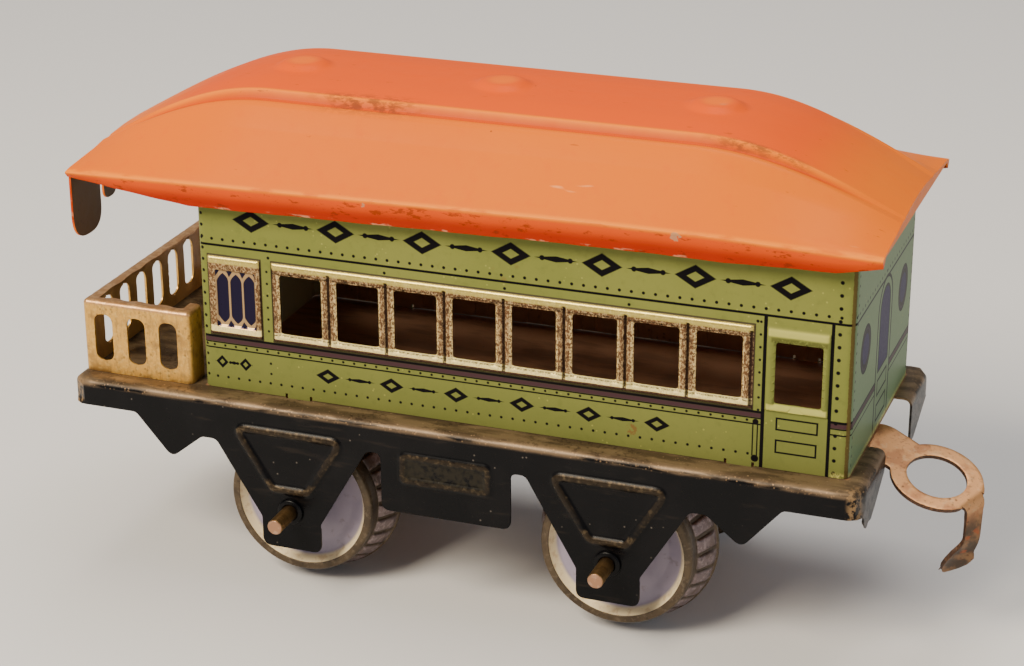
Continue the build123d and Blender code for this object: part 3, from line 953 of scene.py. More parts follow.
def side_print(s):
    """Ink layers of the side walls, drawn over x and height above the deck."""
    u, v = s.x, s.v
    left_of_door = u.ramp(52.6, 52.4)
    right_of_door = u.ramp(63.3, 63.5)
    off_door = left_of_door.either(right_of_door)
    ink = [
        v.line(CANTRAIL_V, 0.21),
        dots(u, v, HIGH_DOTS_V, 2.0, 0.55, 0.27),
        dots(u, v, 2.2, 2.0, 0.4) * u.between(-44.9, 50.6),
        dots(u, v, 8.05, 2.0, 0.1, 0.22) * u.between(-44.9, 50.4),
        *belt_lines(v, off_door, 0.22),
        *[
            dots(v, u, place, pitch, phase, radius) * v.between(low, high)
            for place, pitch, phase, radius, low, high in (
                (-45.3, 2.05, 11.2, 0.29, 10.2, 34.6),
                (-45.3, 1.9, 2.4, 0.25, 1.6, 8.4),
                (64.4, 2.15, 0.9, 0.32, 0.5, 35.8),
                (51.85, 2.15, 10.0, 0.22, 9.4, 25.6),
                (-33.5, 2.15, 11.8, 0.22, 10.8, 23.4),
            )
        ],
        dots(u, v, 25.08, 21.1, -33.1, 0.26) * u.between(-34, 52.2),
        dots(v, u, -33.4, 1.9, 3.97, 0.22) * v.between(3.4, 6.5),
        u.line(DOOR_LINES[0], 0.3) * v.between(0, 26.2),
        u.line(DOOR_LINES[1], 0.27) * v.between(0, 26.2),
        frame_lines(u, v, 54.9, 61.5, 7.05, 9.0),
        frame_lines(u, v, 54.9, 61.4, 3.1, 5.2),
        u.line(51.1, 0.11) * v.between(1.9, 7.7),
        u.line(51.85, 0.11) * v.between(1.9, 7.7),
        spot(u, v, (51.5, 7.9), 0.5),
        spot(u, v, (51.55, 1.5), 0.62),
        lozenges(u, v, 31.2, 15.4, -36.0, 3.4, 2.0) * u.between(-40.0, 60.3),
        lozenges(u, v, 5.0, 11.6, -22.8, 2.2, 1.35) * u.between(-25.4, 37.8),
        lozenges(u, v, 5.0, 4.4, -42.6, 1.15, 1.2) * u.between(-43.9, -36.9),
    ]
    belt = v.between(*BELT_BAND) * off_door
    return any_of(ink), belt


def end_print(s):
    """Ink and glass layers of the coupler end, drawn over y and height above the deck."""
    u, v = s.y.size(), s.v
    front = s.x.ramp(BODY_FRONT - 0.3, BODY_FRONT - 0.15)
    arch = far(u, (v - ARCH_V).math("MAXIMUM", 0.0))
    port = far(u - PORT[0], (v - PORT[1]) * 0.9)
    off_door = u.ramp(5.2, 5.3)
    ink = [
        v.line(CANTRAIL_V, 0.21) * arch.ramp(5.1, 5.3),
        arch.line(5.3, 0.3) * v.ramp(-1, 0),
        arch.line(3.75, 0.25) * v.ramp(10.7, 10.9),
        v.line(10.8, 0.16) * u.ramp(3.9, 3.8),
        port.line(3.5, 0.24),
        port.line(2.6, 0.3),
        *belt_lines(v, off_door, 0.2),
        dots(v, u, 21.3, 1.6, 0.3, 0.26) * v.between(0.5, 36.0),
        frame_lines(u, v, -3.5, 3.5, 6.6, 9.2, 0.22),
        frame_lines(u, v, -3.5, 3.5, 2.0, 4.8, 0.22),
        dots(u, v, HIGH_DOTS_V, 1.8, 0.3, 0.26),
    ]
    glass = (arch.ramp(3.7, 3.6) * v.ramp(10.8, 10.9)).either(port.ramp(2.5, 2.4))
    ring = port.between(2.6, 3.4)
    belt = v.between(*BELT_BAND) * off_door
    return any_of(ink) * front, glass * front, ring * front, belt * front


def frame_layers(s, side, fine, medium, flake):
    """The silvered window frames: where they are, and their layers of colour, with painted highlights
    on the heads and sills and painted shade under the sills.
    """
    u, v = s.x, s.v
    strip, lead = (u.between(*shape[:2], 0.1) for shape in (STRIP_FRAME, LEAD_FRAME))
    silvered = strip.either(lead) * side
    band = v.between(10.2, 24.35, 0.1)
    posts = silvered * band
    half_post = (WINDOW_PITCH - WINDOW_WIDTH) / 2
    post_middle = u.nearest(WINDOW_PITCH, FIRST_WINDOW + WINDOW_PITCH / 2)
    groove = (post_middle + (flake - 0.5) * 0.25).ramp(0.36, 0.16)
    groove = groove * strip * v.between(10.6, 23.5) * side
    # Painted highlight: the frame's head bead is painted a light yellow green.
    head_highlight = v.ramp(23.05, 23.35) * posts
    # Painted highlight: the sills, which face up, are painted bright cream.
    sill = (v.between(10.75, 11.9, 0.12) + (medium - 0.5) * 0.5).ramp(0.35, 0.6) * posts
    # Painted shade: the strip under each sill is painted dark.
    sill_underside_shade = v.between(10.1, 10.75, 0.1) * posts
    inner_edge = post_middle.between(half_post - 0.42, half_post + 0.1, 0.08) * strip
    inner_edge = inner_edge * v.between(11.7, 22.4) * side
    outline, lead_outline = (
        frame_lines(u, v, *shape[:2], 9.95, 24.5, 0.14) for shape in (STRIP_FRAME, LEAD_FRAME)
    )
    window_line = frame_lines(u, v, -1e3, 1e3, 11.45, 22.65, 0.12) * strip * fine.ramp(0.35, 0.6)
    panes, pane_area = lead_window(u, v)
    layers = [
        (posts, 1, (104, 74, 50)),
        (posts * flake.ramp(0.49, 0.55), 0.85, SILVER),
        (posts * medium.ramp(0.54, 0.64), 0.6, (56, 40, 32)),
        (inner_edge * flake.ramp(0.44, 0.52), 0.6, CREAM),
        (head_highlight, 0.9, (190, 172, 92)),
        (head_highlight * fine.ramp(0.52, 0.62), 0.4, (222, 204, 130)),
        (sill, 0.95, (255, 236, 160)),
        (sill * flake.ramp(0.52, 0.6), 0.35, (176, 132, 76)),
        (sill_underside_shade, 0.9, (70, 50, 44)),
        (window_line * side, 0.8, INK),
        (groove, 0.9, (40, 28, 26)),
        (side * pane_area, 1, (170, 140, 100)),
        (side * panes, 1, (34, 30, 50)),
        (outline.either(lead_outline) * side, 0.85, (48, 36, 36)),
    ]
    return posts, layers


def door_layers(s, side, fine):
    """The shade and shine of the pressed frame round the door's window."""
    u, v = s.x, s.v
    door_shade = v.between(22.1, 22.9, 0.2) * u.between(53.7, 62.7, 0.2) * side
    door_bright = v.between(10.3, 11.5, 0.15).either(v.between(23.1, 24.3, 0.2))
    door_bright = door_bright * u.between(53.2, 62.9, 0.2) * side
    return [
        (door_shade * fine.ramp(0.3, 0.5), 0.55, (60, 58, 28)),
        (door_bright, 0.5, (214, 208, 112)),
    ]


def printed_tin():
    """Olive-green lithographed tin: ink lines, rivet dots, silvered frames and wear, with painted
    highlights and shade on the frames and painted shade with a blue reflection on the coupler end.
    """
    s = Surface("printed_litho", roughness=0.4, specular=0.03)
    side = s.y.size().ramp(BODY_HALF - 0.35, BODY_HALF - 0.2)
    # The coupler end wall, painted bluish green below as painted shade with a painted blue
    # reflection.
    end = s.x.ramp(BODY_FRONT - 0.3, BODY_FRONT - 0.15)
    fine = s.noise(0.45, 4, seed=91)
    medium = s.noise(1.5, 5, seed=92)
    flake = s.noise(0.3, 5, (1, 1, 1.5), seed=94, rough=0.7)
    broad = s.noise(16, 3, seed=93)
    ink, belt = side_print(s)
    end_ink, glass, ring, end_belt = end_print(s)
    posts, frames = frame_layers(s, side, fine, medium, flake)
    from_corner = (s.x - BODY_FRONT + 0.4).size() + (s.y.size() - BODY_HALF + 0.4).size()
    corner_wear = (from_corner.ramp(0.95, 0.35) + (flake - 0.5) * 1.1).ramp(0.62, 0.95)
    foot = s.v.ramp(1.3, 0.4) * end.either(s.x.ramp(63.5, 64.5))
    stains = s.scatter(3.1, 0.26, 0.3, seed=95)
    flecks = s.scatter(1.1, 0.2, 0.42, seed=96)
    rust_spot = spot(s.x, s.v, (30.9, 3.4), 1.0) * fine.ramp(0.4, 0.55) * side
    s.paint(
        (114, 119, 60),
        (broad.ramp(0.35, 0.65), 0.4, (130, 131, 70)),
        (s.z.ramp(50, 36), 0.4, (88, 92, 50)),
        (medium.ramp(0.5, 0.75), 0.3, (90, 96, 50)),
        # Painted shade and painted blue reflection: the coupler end wall is painted bluish green.
        (end, 0.85, (104, 126, 96)),
        (flecks, 0.35, (176, 172, 90)),
        (stains, 0.4, (120, 92, 46)),
        (rust_spot, 0.6, RUST),
        *frames,
        *door_layers(s, side, fine),
        (belt * side, 1, BELT),
        (ink * side, 1, INK),
        (end_belt, 1, BELT),
        (ring, 1, (44, 34, 44)),
        (glass, 1, GLASS_BLUE),
        (end_ink, 1, (10, 10, 16)),
        (foot * flake.ramp(0.4, 0.55), 0.6, (206, 196, 112)),
        (corner_wear, 0.8, (84, 62, 36)),
    )
    s.set("Metallic", posts * 0.6 + corner_wear * 0.3)
    return s.finished(
        fine * 0.12 + 0.3 - posts * 0.06,
        broad * 0.7 + fine * 0.08 + posts * fine * 0.2 - ink * side * 0.02,
        0.07, 0.6,
    )


MATERIALS = {
    "roof": painted_roof(),
    "inside": bare_inside(),
    "black": black_tin(),
    "gold": gold_tin(),
    "gold_inside": gold_inside(),
    "copper": copper_tin(),
    "edge": cut_edge(),
    "white": wheel_white(),
    "brown": wheel_brown(),
    "axle": axle_metal(),
    "litho": printed_tin(),
}


# ================================= Underframe =================================
DECK_PATH = Path(
    [
        (EDGE_X, NOTCH_LEFT), (EDGE_X, EDGE_Y), (-EDGE_X, EDGE_Y),
        (-EDGE_X, -EDGE_Y), (EDGE_X, -EDGE_Y), (EDGE_X, NOTCH_RIGHT),
    ],
    CORNER - FOLD,
)
SIDE_OUTLINE = [
    (57.6, APRON_V), (51.0, -12.4), (45.0, -7.6), (42.3, -7.6), (34.1, -21.0), (34.1, -26.4),
    (23.1, -26.4), (23.1, -21.0), (14.2, -5.6), (11.6, -5.6), (11.6, -16.0),
]
TORN_APRON = [
    (1.2, APRON_V), (2.6, -7.6), (3.9, -8.3), (5.4, -7.7), (7.2, -8.2), (9.8, -7.2), (13.2, -5.4),
    (EDGE_Y + NOTCH_RIGHT, -3.6),
]
PLATE_BEAD = [(-9.95, -4.75), (9.95, -4.75), (3.2, -15.3), (-3.2, -15.3)]
BOX_BEAD = [(-7.6, -9.9), (7.6, -9.9), (7.6, -5.4), (-7.6, -5.4)]
BEAD_HALF_WIDTH = 1.05
PLATE_BEAD_RISE = 0.55
BOX_BEAD_RISE = 0.4
COLLAR = [(1.42, 27.2), (2.35, 27.2), (2.3, 28.1), (1.42, 28.28)]


def bead_height(x, v):
    """How far the pressed beads stand out of the side plates."""
    flat = np.stack([x, v], axis=1)
    height = np.zeros(len(x))
    shapes = [(np.array(PLATE_BEAD) + (axle.x, 0), 1.3, PLATE_BEAD_RISE) for axle in AXLES.values()]
    shapes.append((np.array(BOX_BEAD), 0.7, BOX_BEAD_RISE))
    for outline, radius, rise in shapes:
        gap = distance_to(flat, rounded(outline, radius, closed=True))
        height = np.maximum(height, rise * hump(gap, BEAD_HALF_WIDTH) ** 0.75)
    return height


def place_skirt(points):
    """Folds the skirt's blank down round the deck's edge."""
    distances, v = points.T
    positions, normals = DECK_PATH.at(distances)
    drop = -v
    angle = np.clip(drop / FOLD, 0, math.pi / 2)
    below = np.maximum(drop - FOLD * math.pi / 2, 0)
    height = -FOLD * (1 - np.cos(angle)) - below
    out = FOLD * np.sin(angle)
    on_side = np.abs(normals[:, 1]) > 0.99
    out = out + np.where(on_side, bead_height(positions[:, 0], height), 0)
    spread = positions + normals * out[:, None]
    return np.column_stack([spread, DECK + height])


def skirt_outline():
    """The skirt's flat outline: front flap, left side, rear apron, right side, torn front flap."""
    points = [(0, -8.3), (3.0, -8.3), (12.8, APRON_V)]
    for run, way in ((1, -1), (3, 1)):
        middle = DECK_PATH.distance(run, EDGE_X)
        half = [(DECK_PATH.distance(run, EDGE_X + way * x), v) for x, v in SIDE_OUTLINE]
        other = [(2 * middle - t, v) for t, v in reversed(half)]
        points += half + other if way < 0 else other[::-1] + half[::-1]
    corner = DECK_PATH.distance(4, 0)
    points += [(corner + away, v) for away, v in TORN_APRON]
    points = [(t, v - FOLD_GAIN) for t, v in points]
    return rounded([(0, 0), *points, (DECK_PATH.length, 0)], 1.6, 6)


def bead_lines():
    """Grid lines across the blank, close together where beads are pressed."""
    stretches = [(0, DECK_PATH.length, 1.4)]
    for run, sign in ((1, -1), (3, 1)):
        middle = DECK_PATH.distance(run, EDGE_X)
        for centre, half in ((AXLES["front"].x, 11.0), (AXLES["rear"].x, 11.0), (0.0, 9.0)):
            start = middle + sign * centre
            stretches.append((start - half, start + half, 0.28))
    return lines(*stretches)


def make_underframe():
    spacing = 0.6
    outline = skirt_outline()
    points, faces = blank(
        outline, [], bead_lines(),
        lines((-2.2, 0, 0.28), (-17.5, -2.2, 0.3), (-27.2, -17.5, 1.2)), spacing, 0.12,
    )
    skirt = (place_skirt(points), faces)
    count = math.ceil(DECK_PATH.length / spacing - 1e-6)
    edge, _ = DECK_PATH.at(np.linspace(0, DECK_PATH.length, count + 1))
    deck_outline = np.concatenate([edge, [(BODY_FRONT, NOTCH_RIGHT), (BODY_FRONT, NOTCH_LEFT)]])
    wall = BODY_HALF - SHEET / 2
    slots = [
        rectangle(x - 2.4, x + 2.4, side * wall - 0.4, side * wall + 0.4)
        for x in TAB_X
        for side in (-1, 1)
    ]
    points, faces = blank(
        deck_outline, slots, lines((-68, 68, 3.0)), lines((-25.8, 25.8, 2.58)), spacing, 0.4,
    )
    deck = (np.column_stack([points, np.full(len(points), DECK)]), faces)
    mesh = mesh_from("underframe_tray", [skirt, deck], weld=0.02)
    tray = piece("underframe_tray", mesh, "coach", "black_tin", "black black", "underframe")
    thickened(tray, even=False)


def make_collars():
    """The collars that hold the axle ends in the side plates."""
    ring = rounded(COLLAR, [0, 0.1, 0.35, 0.2], 4, closed=True)
    for end, axle in AXLES.items():
        for name, side in SIDES:
            mesh = mesh_from("collar", [lathe(ring, axle, side, 48)], closed=True)
            piece(f"{end}_{name}_axle_collar", sharpened(mesh, 40), "coach", "black_tin", "black")


# ==================================== Body ====================================
BODY_PATH = Path(
    [
        (BODY_REAR, 0), (BODY_REAR, -BODY_HALF), (BODY_FRONT, -BODY_HALF),
        (BODY_FRONT, BODY_HALF), (BODY_REAR, BODY_HALF), (BODY_REAR, 0),
    ],
    1.3,
)


def windows():
    """(low x, high x, low v, high v) of each opening in a side wall."""
    found = []
    for index in range(WINDOW_COUNT):
        centre = FIRST_WINDOW + index * WINDOW_PITCH
        found.append((centre - WINDOW_WIDTH / 2, centre + WINDOW_WIDTH / 2, *WINDOW_V))
    found.append(DOOR_WINDOW)
    return found


def depth_inside(x, v, area):
    """How far each point is inside a rectangle, negative outside."""
    low_x, high_x, low_v, high_v = area
    return np.minimum(np.minimum(x - low_x, high_x - x), np.minimum(v - low_v, high_v - v))


def pillow(depth, width, rise):
    """A rounded step that reaches its full rise at width."""
    share = np.clip(depth / width, 0, 1)
    return rise * np.sqrt(1 - (1 - share) ** 2)


def frame_relief(x, v):
    """How far the pressed window frames stand out of a side wall."""
    height = np.zeros(len(x))
    for area, width in ((STRIP_FRAME, 0.8), (LEAD_FRAME, 0.75), (DOOR_FRAME, 0.7)):
        height = np.maximum(height, pillow(depth_inside(x, v, area), width, FRAME_HEIGHT))
    for opening in windows():
        outside = -depth_inside(x, v, opening)
        low_v = opening[2]
        sill = (v < low_v) & (outside > 0)
        width = np.where(sill, 1.15, 0.5)
        rolled = np.clip(outside / width, 0, 1)
        curve = np.sqrt(np.clip(1 - (1 - rolled) ** 2, 0, 1))
        start = np.where(sill, 0.05, 0.35)
        shape = start + (1 - start) * np.where(sill, 0.4 * curve + 0.6 * rolled, curve)
        height = height * np.where(outside < width, shape, 1)
    strip = depth_inside(x, v, STRIP_FRAME) > 0
    for index in range(WINDOW_COUNT):
        middle = FIRST_WINDOW + (index + 0.5) * WINDOW_PITCH
        gap = np.abs(x - middle)
        groove = np.where(gap < 0.5, hump(gap, 0.5), 0)
        reach = smooth(v, 10.5, 11.1) * (1 - smooth(v, 23.0, 23.6))
        height -= np.where(strip, groove * reach * 0.42, 0)
    step = 0.14 * hump(np.abs(v - 23.15), 0.35)
    height -= np.where(depth_inside(x, v, STRIP_FRAME) > 0.4, step, 0)
    panes = depth_inside(x, v, LEAD_PANES)
    height = np.where(panes > 0, height - smooth(panes, 0, 0.35) * (FRAME_HEIGHT - 0.12), height)
    low_u, high_u = LEAD_PANES[:2]
    pitch = (high_u - low_u) / PANE_COUNT
    lead_gap = np.abs((x - low_u + pitch / 2) % pitch - pitch / 2)
    leading = 0.14 * (1 - smooth(lead_gap, 0.12, 0.36))
    return height + np.where(panes > 0.3, leading, 0)


def place_body(points):
    distances, v = points.T
    positions, normals = BODY_PATH.at(distances)
    on_side = np.abs(normals[:, 1]) > 0.999
    out = np.where(on_side, frame_relief(positions[:, 0], v), 0)
    spread = positions + normals * out[:, None]
    return np.column_stack([spread, DECK + v])


def side_distance(side, x):
    """The blank's distance of a place x on the right (-1) or left (+1) wall."""
    if side < 0:
        return BODY_PATH.distance(1, x - BODY_REAR)
    return BODY_PATH.distance(3, BODY_FRONT - x)


def side_span(side, low, high):
    """The blank's distances between two places on a side wall, the lesser one first."""
    return sorted((side_distance(side, low), side_distance(side, high)))


def body_outline():
    """The wrap's flat outline with its deck tabs; ends meet behind, on the rear wall."""
    base, relief_top, tab_foot = 0.12, 0.75, -1.5
    bottom = []
    for centre in sorted(side_distance(side, x) for side in (-1, 1) for x in TAB_X):
        left = [(-RELIEF_HALF, base), (-RELIEF_HALF, relief_top)]
        left += [(-TAB_HALF, relief_top), (-TAB_HALF, tab_foot)]
        right = [(-across, v) for across, v in reversed(left)]
        bottom += [(centre + across, v) for across, v in left + right]
    ends = BODY_PATH.length
    return np.array([(0, base), *bottom, (ends, base), (ends, BODY_TOP), (0, BODY_TOP)])


def body_blank():
    """The wrap's blank, with grid lines close together where frames and posts are pressed."""
    holes = []
    across = [(0, BODY_PATH.length, 2.6)]
    for side in (-1, 1):
        for low, high, low_v, high_v in windows():
            holes.append(rectangle(*side_span(side, low, high), low_v, high_v, 0.55))
        posts = [FIRST_WINDOW + (index + 0.5) * WINDOW_PITCH for index in range(-1, WINDOW_COUNT)]
        fine = [(LEAD_FRAME[0] - 0.2, LEAD_FRAME[1] + 0.2)]
        fine += [(x - 2.2, x + 2.2) for x in posts]
        fine += [(x - 1.2, x + 1.2) for x in (53.6, 62.4)]
        across += [(*side_span(side, *places), 0.2) for places in fine]
    for corner in range(1, 5):
        turn = BODY_PATH.distance(corner, 0)
        across.append((turn - 1.4, turn + 1.6, 0.3))
    up = lines(
        (0.3, 9.8, 2.4), (9.8, 12.5, 0.18), (12.5, 21.6, 1.3),
        (21.6, 24.8, 0.18), (24.8, BODY_TOP, 2.6),
    )
    return blank(body_outline(), holes, lines(*across), up, 0.7, 0.07)


def make_body():
    points, faces = body_blank()
    mesh = mesh_from("body_wrap", [(place_body(points), faces)], weld=0.005)
    body = piece("body_wrap", mesh, "coach", "printed_tin", "litho inside",
                 "body_right_side", "body_left_side", "body_front_end", "body_rear_end")
    thickened(body, even=False, sharp=46)


def make_gable():
    """The flat sheet that fills the roof's arch above the platform wall."""
    top = ridge_at(BODY_REAR) - 1.3
    gable = [(22.4, BODY_TOP - 0.4), (22.4, eave_at(BODY_REAR) + 0.6), (14.6, top - 2.4), (11.6, top)]
    gable += [(-y, v) for y, v in reversed(gable)]
    points, faces = blank(np.array(gable), [], lines((-20, 20, 4)), lines((40, 50, 3)), 2.0, 0.6)
    mesh = mesh_from("body_gable", [(upright(BODY_REAR, -points[:, 0], points[:, 1]), faces)])
    thickened(piece("body_gable", mesh, "coach", "printed_tin", "litho inside"))


# ==================================== Roof ====================================
def rise_shares(x):
    """How far the ridge has risen from the rear end and from the front end, 0 to 1."""
    gone = (x - ROOF_REAR) / RISE_REAR, (ROOF_FRONT - x) / RISE_FRONT
    return [math.sin(math.pi / 2 * min(max(share, 0), 1)) for share in gone]


def ridge_at(x):
    rear, front = rise_shares(x)
    from_rear = RIDGE_REAR + (RIDGE - RIDGE_REAR) * rear
    return min(from_rear, RIDGE_FRONT + (RIDGE - RIDGE_FRONT) * front)


def eave_at(x):
    places = [ROOF_REAR, EAVE_BEND, ROOF_FRONT - EAVE_BEND, ROOF_FRONT]
    return float(np.interp(x, places, [37.5, 39.5, 39.5, 38.8]))


def lip_at(x):
    places = [ROOF_REAR, BODY_REAR, EAVE_BEND, ROOF_FRONT - EAVE_BEND, ROOF_FRONT - 7, ROOF_FRONT]
    return float(np.interp(x, places, [1.2, 4.3, 4.3, 4.3, 3.3, 1.6]))


def roof_half_section(x):
    """(y, v) points from the lip's lower edge up to the crown, on the left side."""
    eave = eave_at(x)
    rise = ridge_at(x) - eave
    half = RIDGE_HALF_END + (RIDGE_HALF - RIDGE_HALF_END) * min(rise_shares(x))
    shoulder = half + 2.8
    slack = min(1.0, rise / 8)
    ripple = 0.10 * math.sin(x * 0.31) + 0.06 * math.sin(x * 0.83 + 1)
    points = [
        (ROOF_HALF - 0.85 + ripple, eave - lip_at(x)),
        (ROOF_HALF - 0.3 + ripple * 0.5, eave - lip_at(x) * 0.5),
        (ROOF_HALF - 0.02, eave - 0.15),
        (ROOF_HALF - 1.6, eave + rise * 0.115),
        (shoulder + 3.2, eave + rise * 0.60),
        (shoulder + 0.1, eave + rise * 0.885),
        (half + 0.95, eave + rise * 0.858),
        (half + 0.2, eave + rise * 0.985),
        (half * 0.55, eave + rise + 0.42),
        (0, eave + rise + 0.6),
    ]
    radii = [0, 2, 0.5, 8, 8, 1.7 * slack, 0.7 * slack, 0.4 * slack, 30, 0]
    return rounded(points, radii, 6)


def make_roof():
    stations = lines((ROOF_REAR, ROOF_FRONT, 0.9))
    rows = []
    for x in stations:
        half = roof_half_section(x)
        crown = half[-1]
        extra = np.linspace(half[-2], crown, 12)[1:-1]
        half = np.concatenate([half[:-1], extra, [crown]])
        other = half[::-1][1:] * (-1, 1)
        section = np.concatenate([half, other])
        rows.append(upright(x, *section.T))
    points = np.array(rows)
    for boss_x in BOSS_X:
        gap = np.hypot(points[..., 0] - boss_x, points[..., 1])
        points[..., 2] += BOSS_RISE * (1 - smooth(gap, 3.3, 5.0))
    columns = points.shape[1]
    top = (points.reshape(-1, 3), grid_faces(len(stations), columns))
    rear = end_plate(points[0], valance_edge(), ROOF_REAR, outward=-1)
    front = end_plate(points[-1], flange_edge(), ROOF_FRONT, outward=1)
    mesh = mesh_from("roof_shell", [top, rear, front], weld=0.01)
    shell = piece("roof_shell", mesh, "coach", "roof_tin", "roof inside", "roof")
    thickened(shell, even=False, sharp=50)


def valance_edge():
    """The lower edge of the rear valance from left to right, as (y, v): a lobe, tongues, a lobe."""
    outer, inner, half, low = 25.4, 15.8, 4.8, 24.4
    band, top = 32.5, 36.2
    tongue_pitch, tongue_half, tongue_low = 6.2, 2.2, 28.6
    points = list(rounded([(outer, top), (outer, low), (inner, low), (inner, band)], half, 8))
    for index in (2, 1, 0, -1, -2):
        left = index * tongue_pitch + tongue_half
        right = index * tongue_pitch - tongue_half
        tongue = [(left, band), (left, tongue_low), (right, tongue_low), (right, band)]
        points += list(rounded(tongue, tongue_half, 6))
    points += list(rounded([(-inner, band), (-inner, low), (-outer, low), (-outer, top)], half, 8))
    return np.array(points)


def flange_edge():
    """The lower edge of the front end's flange from left to right, as (y, v)."""
    end, foot, low, high = 25.5, 24.4, 37.4, 38.6
    return rounded([(end, low), (foot, high), (-foot, high), (-end, low)], 0.6, 3)


def end_plate(section, lower, x, outward):
    """The plate that closes a roof end, from its section down to a shaped lower edge."""
    arch = section[:, 1:] - (0, DECK)
    keep = arch[:, 1] > lower[0][1] + 0.2
    upper = arch[keep]
    loop = np.concatenate([upper[::-1], lower])
    loop = loop[np.append(True, np.hypot(*np.diff(loop, axis=0).T) > 1e-4)]
    points, faces = blank(loop, [], lines((-24, 24, 3)), lines((28, 40, 3)), 9.0, 0.5)
    flat = upright(x, *points.T)
    normal = np.cross(flat[faces[0][1]] - flat[faces[0][0]], flat[faces[0][2]] - flat[faces[0][0]])
    if normal[0] * outward < 0:
        faces = faces[:, ::-1]
    return flat, faces


# =================================== Railing ===================================
RAIL_HALF = RAIL_HIGH.y
RAIL_V = RAIL_HIGH.z - DECK
RAIL_ROUND = 0.8
RETURN_Y = RAIL_HALF - 4.6
RAIL_PATH = Path(
    [
        (RAIL_HIGH.x, RETURN_Y), (RAIL_HIGH.x, RAIL_HALF), (RAIL_LOW.x, RAIL_HALF),
        (RAIL_LOW.x, -RAIL_HALF), (RAIL_HIGH.x, -RAIL_HALF), (RAIL_HIGH.x, -RETURN_Y),
    ],
    RAIL_ROUND,
)
SLOT = (3.5, 2.3, 10.9)
SIDE_SLOT_X = (-65.1, -58.75, -52.6)
END_SLOTS = 6
END_SLOT_PITCH = 6.13
LIP_DEPTH = 2.2
RAIL_STEP = 0.5


def place_rail(points):
    """Raises the rail's blank and folds its top edge inwards."""
    distances, p = points.T
    positions, normals = RAIL_PATH.at(distances)
    straight = RAIL_V - RAIL_ROUND
    angle = np.clip((p - straight) / RAIL_ROUND, 0, math.pi / 2)
    height = np.minimum(p, straight) + RAIL_ROUND * np.sin(angle)
    inward = RAIL_ROUND * (1 - np.cos(angle))
    spread = positions - normals * inward[:, None]
    return np.column_stack([spread, DECK + height])


def rail_wall():
    """The slotted upright sheet, with its top edge folded over."""
    top = RAIL_V - RAIL_ROUND + RAIL_ROUND * math.pi / 2
    length = RAIL_PATH.length
    holes = []
    for x in SIDE_SLOT_X:
        for run, gap in ((1, RAIL_HIGH.x - x), (3, x - RAIL_LOW.x)):
            holes.append(slot_outline(RAIL_PATH.distance(run, gap), *SLOT, 8))
    for index in range(END_SLOTS):
        y = (index - (END_SLOTS - 1) / 2) * END_SLOT_PITCH
        holes.append(slot_outline(RAIL_PATH.distance(2, RAIL_HALF - y), *SLOT, 8))
    outline = np.array([(0, 0.05), (length, 0.05), (length, top), (0, top)])
    across = [(0.8, length - 0.8, 1.3)]
    for corner in range(1, 5):
        turn = RAIL_PATH.distance(corner, 0)
        across.append((turn - 0.9, turn + 1.2, 0.25))
    up = lines((0.8, 11.6, 1.2), (11.6, 12.4, 0.4), (12.4, top - 0.1, 0.16))
    points, faces = blank(outline, holes, lines(*across), up, RAIL_STEP, 0.14)
    return place_rail(points), faces


def rail_lip():
    """The flat lip inside the fold, slightly sunk and uneven."""
    count = math.ceil(RAIL_PATH.length / RAIL_STEP - 1e-6)
    edge, normals = RAIL_PATH.at(np.linspace(0, RAIL_PATH.length, count + 1))
    edge = edge - normals * RAIL_ROUND
    order = np.append(True, np.hypot(*np.diff(edge, axis=0).T) > 1e-4)
    outer = edge[order]
    inner_x = RAIL_LOW.x + LIP_DEPTH
    inner_y = RAIL_HALF - LIP_DEPTH
    front_x = RAIL_HIGH.x - 2.0
    inner = [
        (front_x, -RETURN_Y), (front_x, -inner_y), (inner_x, -inner_y),
        (inner_x, inner_y), (front_x, inner_y), (front_x, RETURN_Y),
    ]
    loop = np.concatenate([outer, inner])
    points, faces = blank(loop, [], lines((-68.5, -49, 1.1)), lines((-23, 23, 1.1)), RAIL_STEP, 0.3)
    sag = 0.12 * np.sin(points[:, 0] * 1.3 + points[:, 1] * 0.9)
    edge_gap = distance_to(points, outer)
    dip = np.clip(edge_gap / 1.4, 0, 1) * (0.12 + sag)
    return np.column_stack([points, DECK + RAIL_V - dip]), faces


def make_railing():
    mesh = mesh_from("railing_sheet", [rail_wall(), rail_lip()], weld=0.02)
    rail = piece("railing_sheet", mesh, "coach", "gold_tin", "gold gold_inside", "platform_railing")
    thickened(rail, even=False, sharp=42)


# =================================== Coupler ===================================
STRIP = 0.7
STRIP_HALF = 4.2
BEND = 7.5
EYE = 20.3
EYE_RADIUS = 5.0
RING_RADIUS = 7.72
RIVET_HOLE = 1.36
HOOK_START = 27.53
RING_LAP = 0.9
SLOPE_REACH = 0.4
SWING = math.radians(-20)
PITCH = math.radians(17)
EYE_CENTRE = BEND + (EYE - BEND) / math.cos(PITCH)
ROLL = math.radians(9)


def to_coach(points):
    """Coupler coordinates (out, left, up from its middle plane) to the coach's."""
    turned = points @ np.array(Matrix.Rotation(SWING, 3, "Z")).T
    return turned + np.array(PIVOT)


def coupler_route():
    """The strip's middle line, as (out, up): flat, bent down to the ring, then hooked back."""
    ring_edge = (HOOK_START, -(HOOK_START - BEND) * math.tan(PITCH))
    points = [(0, 0), (BEND, 0), ring_edge, (27.3, -13.2), (22.6, -20.2)]
    return rounded(points, [0, 3.0, 1.5, 4.5, 0], 16)


def hook_half_width(share):
    """The hook's half width, from its root at the ring to its leaf-shaped tip."""
    return np.interp(share, [0, 0.12, 0.25, 0.5, 0.58, 0.66, 0.78, 0.88, 0.96, 1.0],
                     [2.7, 1.8, 1.5, 1.4, 1.45, 2.05, 1.95, 1.45, 0.8, 0.2])


